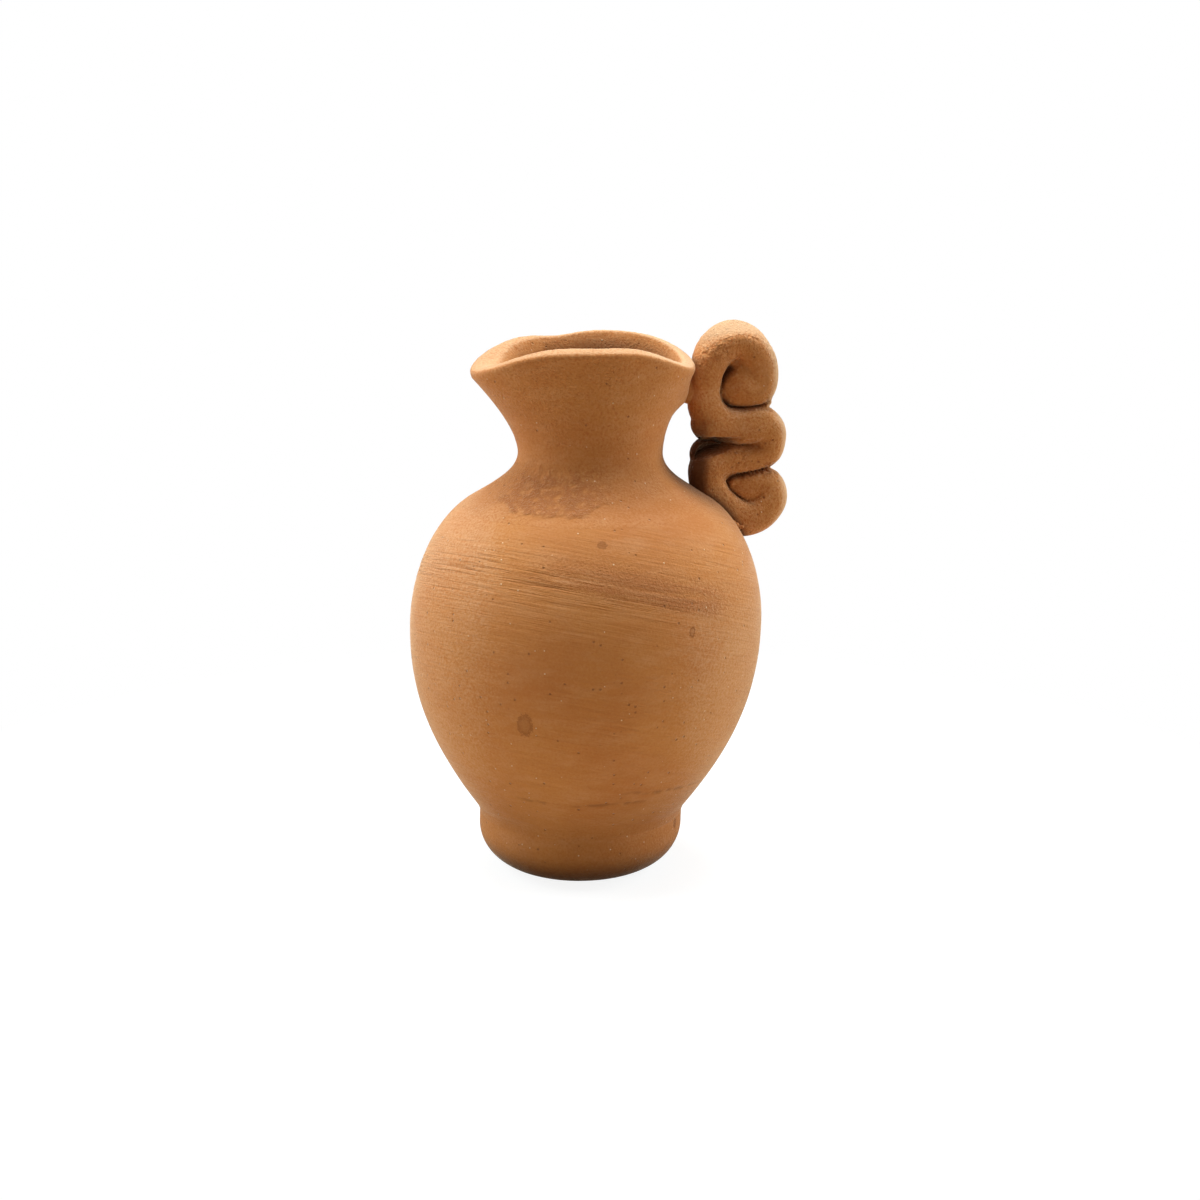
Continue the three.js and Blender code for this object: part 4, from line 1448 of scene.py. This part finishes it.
# Wads pressed in the corners between coil and vessel: distance, height and half sizes in millimetres. The
# numbers of detail are the fineness of their faces.
RIM_WAD = ((14.3, 68.3), (1.6, 1.5, 1.75))
SHOULDER_WAD = ((15.6, 53.9), (1.9, 2.0, 1.3))
WAD_DETAIL = 5
# Crumbs of clay squeezed out under the coil: distance, place across, height and radius.
CRUMBS = (
    (21.1, -3.0, 49.5, 0.35), (20.6, -3.2, 49.9, 0.25), (21.6, -2.7, 49.1, 0.3), (21.9, -3.1, 49.2, 0.2),
)
CRUMB_DETAIL = 3
# Lumps on both: sizes in millimetres and their share.
WAD_LUMPS = (0.9, 0.35)
WAD_LUMP_SHARE = 0.5


class JUG_OT_wads(bpy.types.Operator):
    """Press wads of clay into the corners between the coil and the vessel."""

    bl_idname = "jug.wads"
    bl_label = "Luting wads"

    def execute(self, context):
        scene = context.scene
        form, handle, marks, colours = scene.jug_form, scene.jug_handle, scene.jug_marks, scene.jug_colours
        turn = Matrix.Rotation(handle.azimuth, 4, "Z")
        material = fired_clay("luting_clay", colours, clouds=0.8, grain=0.9, lines=0.0)
        for name, node, (centre, halves), crumbs in (
            ("rim_luting", "rim_wad", RIM_WAD, ()),
            ("shoulder_luting", "shoulder_wad", SHOULDER_WAD, CRUMBS),
        ):
            bm = bmesh.new()
            place = Matrix.Translation(handle_place(form, handle, *centre))
            size = Matrix.Diagonal((*(half * MM for half in halves), 1))
            bmesh.ops.create_icosphere(bm, subdivisions=WAD_DETAIL, radius=1.0, matrix=place @ turn @ size)
            for distance, aside, height, radius in crumbs:
                spot = Matrix.Translation(handle_place(form, handle, distance, height, aside))
                bmesh.ops.create_icosphere(bm, subdivisions=CRUMB_DETAIL, radius=radius * MM, matrix=spot)
            bm.normal_update()
            for vert in bm.verts:
                lumps = sum(wobble(vert.co, size) for size in WAD_LUMPS)
                vert.co += vert.normal * marks.swell * (swell(vert.co) + WAD_LUMP_SHARE * lumps)
            finish_piece(bm, name, material, node)
        return {"FINISHED"}


# The stage, in metres, watts and plain colours.
CAMERA_DISTANCE = 0.300
CAMERA_PITCH = math.radians(14)
CAMERA_AIM = Vector((0, 0, 0.038))
CAMERA_LENS = 63.06
CAMERA_SHIFT = (0.01725, 0.00575)
CAMERA_NEAR = 0.01
LAMPS = (
    ("overhead", (-0.02, 0.05, 0.60), 5.6),
    ("left_panel", (-0.46, 0.10, 0.32), 2.8),
    ("right_panel", (0.52, 0.10, 0.26), 2.65),
)
LAMP_SIZE = 0.42
LAMP_TINT = (0.86, 0.97, 1.0)
ROOM_LIGHT = (0.1, 0.072, 0.034, 1.0)
WHITE = (1.0, 1.0, 1.0, 1.0)
# Close round the foot the floor bounces no light, a dark ring that stands in for the shade under the jug.
FLOOR_NEAR = (0.0, 0.0, 0.0, 1.0)
FLOOR_FAR = (0.6, 0.52, 0.4, 1.0)
FLOOR_SHADE = (0.22, 0.22, 0.22, 1.0)
FLOOR_GLOW = 0.88
FLOOR_HALF = 1.5
# Distances from the axis between which the floor's bounce sets in, and its shown shade gives way to white.
FLOOR_BOUNCE = (0.0145, 0.027)
FLOOR_WHITE = (0.05, 0.12)


def seen_by_camera(tree):
    """1 for what the camera sees directly, in a mirror or through glass."""
    path = add_node(tree, "ShaderNodeLightPath").outputs
    seen = calculate(tree, "MAXIMUM", path["Is Camera Ray"], path["Is Glossy Ray"])
    return calculate(tree, "MAXIMUM", seen, path["Is Transmission Ray"])


def make_world():
    world = bpy.data.worlds.new("studio")
    world.use_nodes = True
    tree = world.node_tree
    background = tree.nodes["Background"]
    light = mix_colours(tree, seen_by_camera(tree), ROOM_LIGHT, WHITE)
    tree.links.new(light, background.inputs["Color"])
    return world


def floor_material():
    """A pale floor that shows white round the jug's soft shadow."""
    material = bpy.data.materials.new("pale_floor")
    material.use_nodes = True
    tree = material.node_tree
    tree.nodes.remove(tree.nodes["Principled BSDF"])
    place = add_node(tree, "ShaderNodeTexCoord").outputs["Object"]
    span = calculate_vector(tree, "LENGTH", {0: place})["Value"]
    tint = mix_colours(tree, ramp(tree, span, *FLOOR_BOUNCE), FLOOR_NEAR, FLOOR_FAR)
    bounce = add_node(tree, "ShaderNodeBsdfDiffuse", {}, {"Color": tint})
    shade = add_node(tree, "ShaderNodeBsdfDiffuse", {}, {"Color": FLOOR_SHADE})
    glow = add_node(tree, "ShaderNodeEmission", {}, {"Color": WHITE, "Strength": FLOOR_GLOW})
    lit = add_node(tree, "ShaderNodeAddShader", {}, {0: shade.outputs[0], 1: glow.outputs[0]})
    white = add_node(tree, "ShaderNodeEmission", {}, {"Color": WHITE, "Strength": 1.0})
    shown = add_node(
        tree, "ShaderNodeMixShader", {},
        {0: ramp(tree, span, *FLOOR_WHITE), 1: lit.outputs[0], 2: white.outputs[0]})
    mixed = add_node(
        tree, "ShaderNodeMixShader", {},
        {0: seen_by_camera(tree), 1: bounce.outputs[0], 2: shown.outputs[0]})
    tree.links.new(mixed.outputs[0], tree.nodes["Material Output"].inputs["Surface"])
    return material


class JUG_OT_stage(bpy.types.Operator):
    """Set the camera, the studio light and the pale floor."""

    bl_idname = "jug.stage"
    bl_label = "Stage"

    def execute(self, context):
        scene = context.scene
        scene.view_settings.view_transform = "Standard"
        scene.world = make_world()
        bm = bmesh.new()
        bmesh.ops.create_grid(bm, x_segments=1, y_segments=1, size=FLOOR_HALF)
        mesh = bpy.data.meshes.new("floor")
        bm.to_mesh(mesh)
        bm.free()
        mesh.materials.append(floor_material())
        floor = bpy.data.objects.new("floor", mesh)
        scene.collection.objects.link(floor)
        for name, place, power in LAMPS:
            lamp = bpy.data.lights.new(name, "AREA")
            lamp.size = LAMP_SIZE
            lamp.energy = power
            lamp.color = LAMP_TINT
            stand = bpy.data.objects.new(name, lamp)
            stand.location = place
            stand.rotation_euler = (CAMERA_AIM - Vector(place)).to_track_quat("-Z", "Y").to_euler()
            scene.collection.objects.link(stand)
        lens = bpy.data.cameras.new("photo_camera")
        lens.lens = CAMERA_LENS
        lens.shift_x, lens.shift_y = CAMERA_SHIFT
        lens.clip_start = CAMERA_NEAR
        camera = bpy.data.objects.new("photo_camera", lens)
        back = Vector((0, -math.cos(CAMERA_PITCH), math.sin(CAMERA_PITCH)))
        camera.location = CAMERA_AIM + back * CAMERA_DISTANCE
        camera.rotation_euler = (math.pi / 2 - CAMERA_PITCH, 0, 0)
        scene.collection.objects.link(camera)
        scene.camera = camera
        return {"FINISHED"}


class JUG_PT_sidebar(bpy.types.Panel):
    """The jug's pieces and stage, in the order of making."""

    bl_idname = "JUG_PT_sidebar"
    bl_label = "Terracotta jug"
    bl_space_type = "VIEW_3D"
    bl_region_type = "UI"
    bl_category = "Jug"

    def draw(self, context):
        for operator in OPERATORS:
            self.layout.operator(operator.bl_idname)
        for group in GROUP_PROPERTIES:
            column = self.layout.column()
            settings = getattr(context.scene, group)
            for key in settings.__annotations__:
                column.prop(settings, key)


OPERATORS = (
    JUG_OT_foot, JUG_OT_foot_slip, JUG_OT_belly, JUG_OT_neck_slip, JUG_OT_neck, JUG_OT_handle, JUG_OT_wads,
    JUG_OT_stage,
)
GROUP_PROPERTIES = {
    "jug_form": JugForm, "jug_mouth": JugMouth, "jug_handle": JugHandle, "jug_marks": JugMarks,
    "jug_colours": JugColours,
}


def register():
    for cls in (*GROUP_PROPERTIES.values(), *OPERATORS, JUG_PT_sidebar):
        bpy.utils.register_class(cls)
    for name, group in GROUP_PROPERTIES.items():
        setattr(bpy.types.Scene, name, PointerProperty(type=group))


def unregister():
    for name in GROUP_PROPERTIES:
        delattr(bpy.types.Scene, name)
    for cls in (JUG_PT_sidebar, *reversed(OPERATORS), *reversed(GROUP_PROPERTIES.values())):
        bpy.utils.unregister_class(cls)


def main():
    register()
    bpy.ops.jug.foot()
    bpy.ops.jug.foot_slip()
    bpy.ops.jug.belly()
    bpy.ops.jug.neck_slip()
    bpy.ops.jug.neck()
    bpy.ops.jug.handle()
    bpy.ops.jug.wads()
    bpy.ops.jug.stage()


if __name__ == "__main__":
    main()
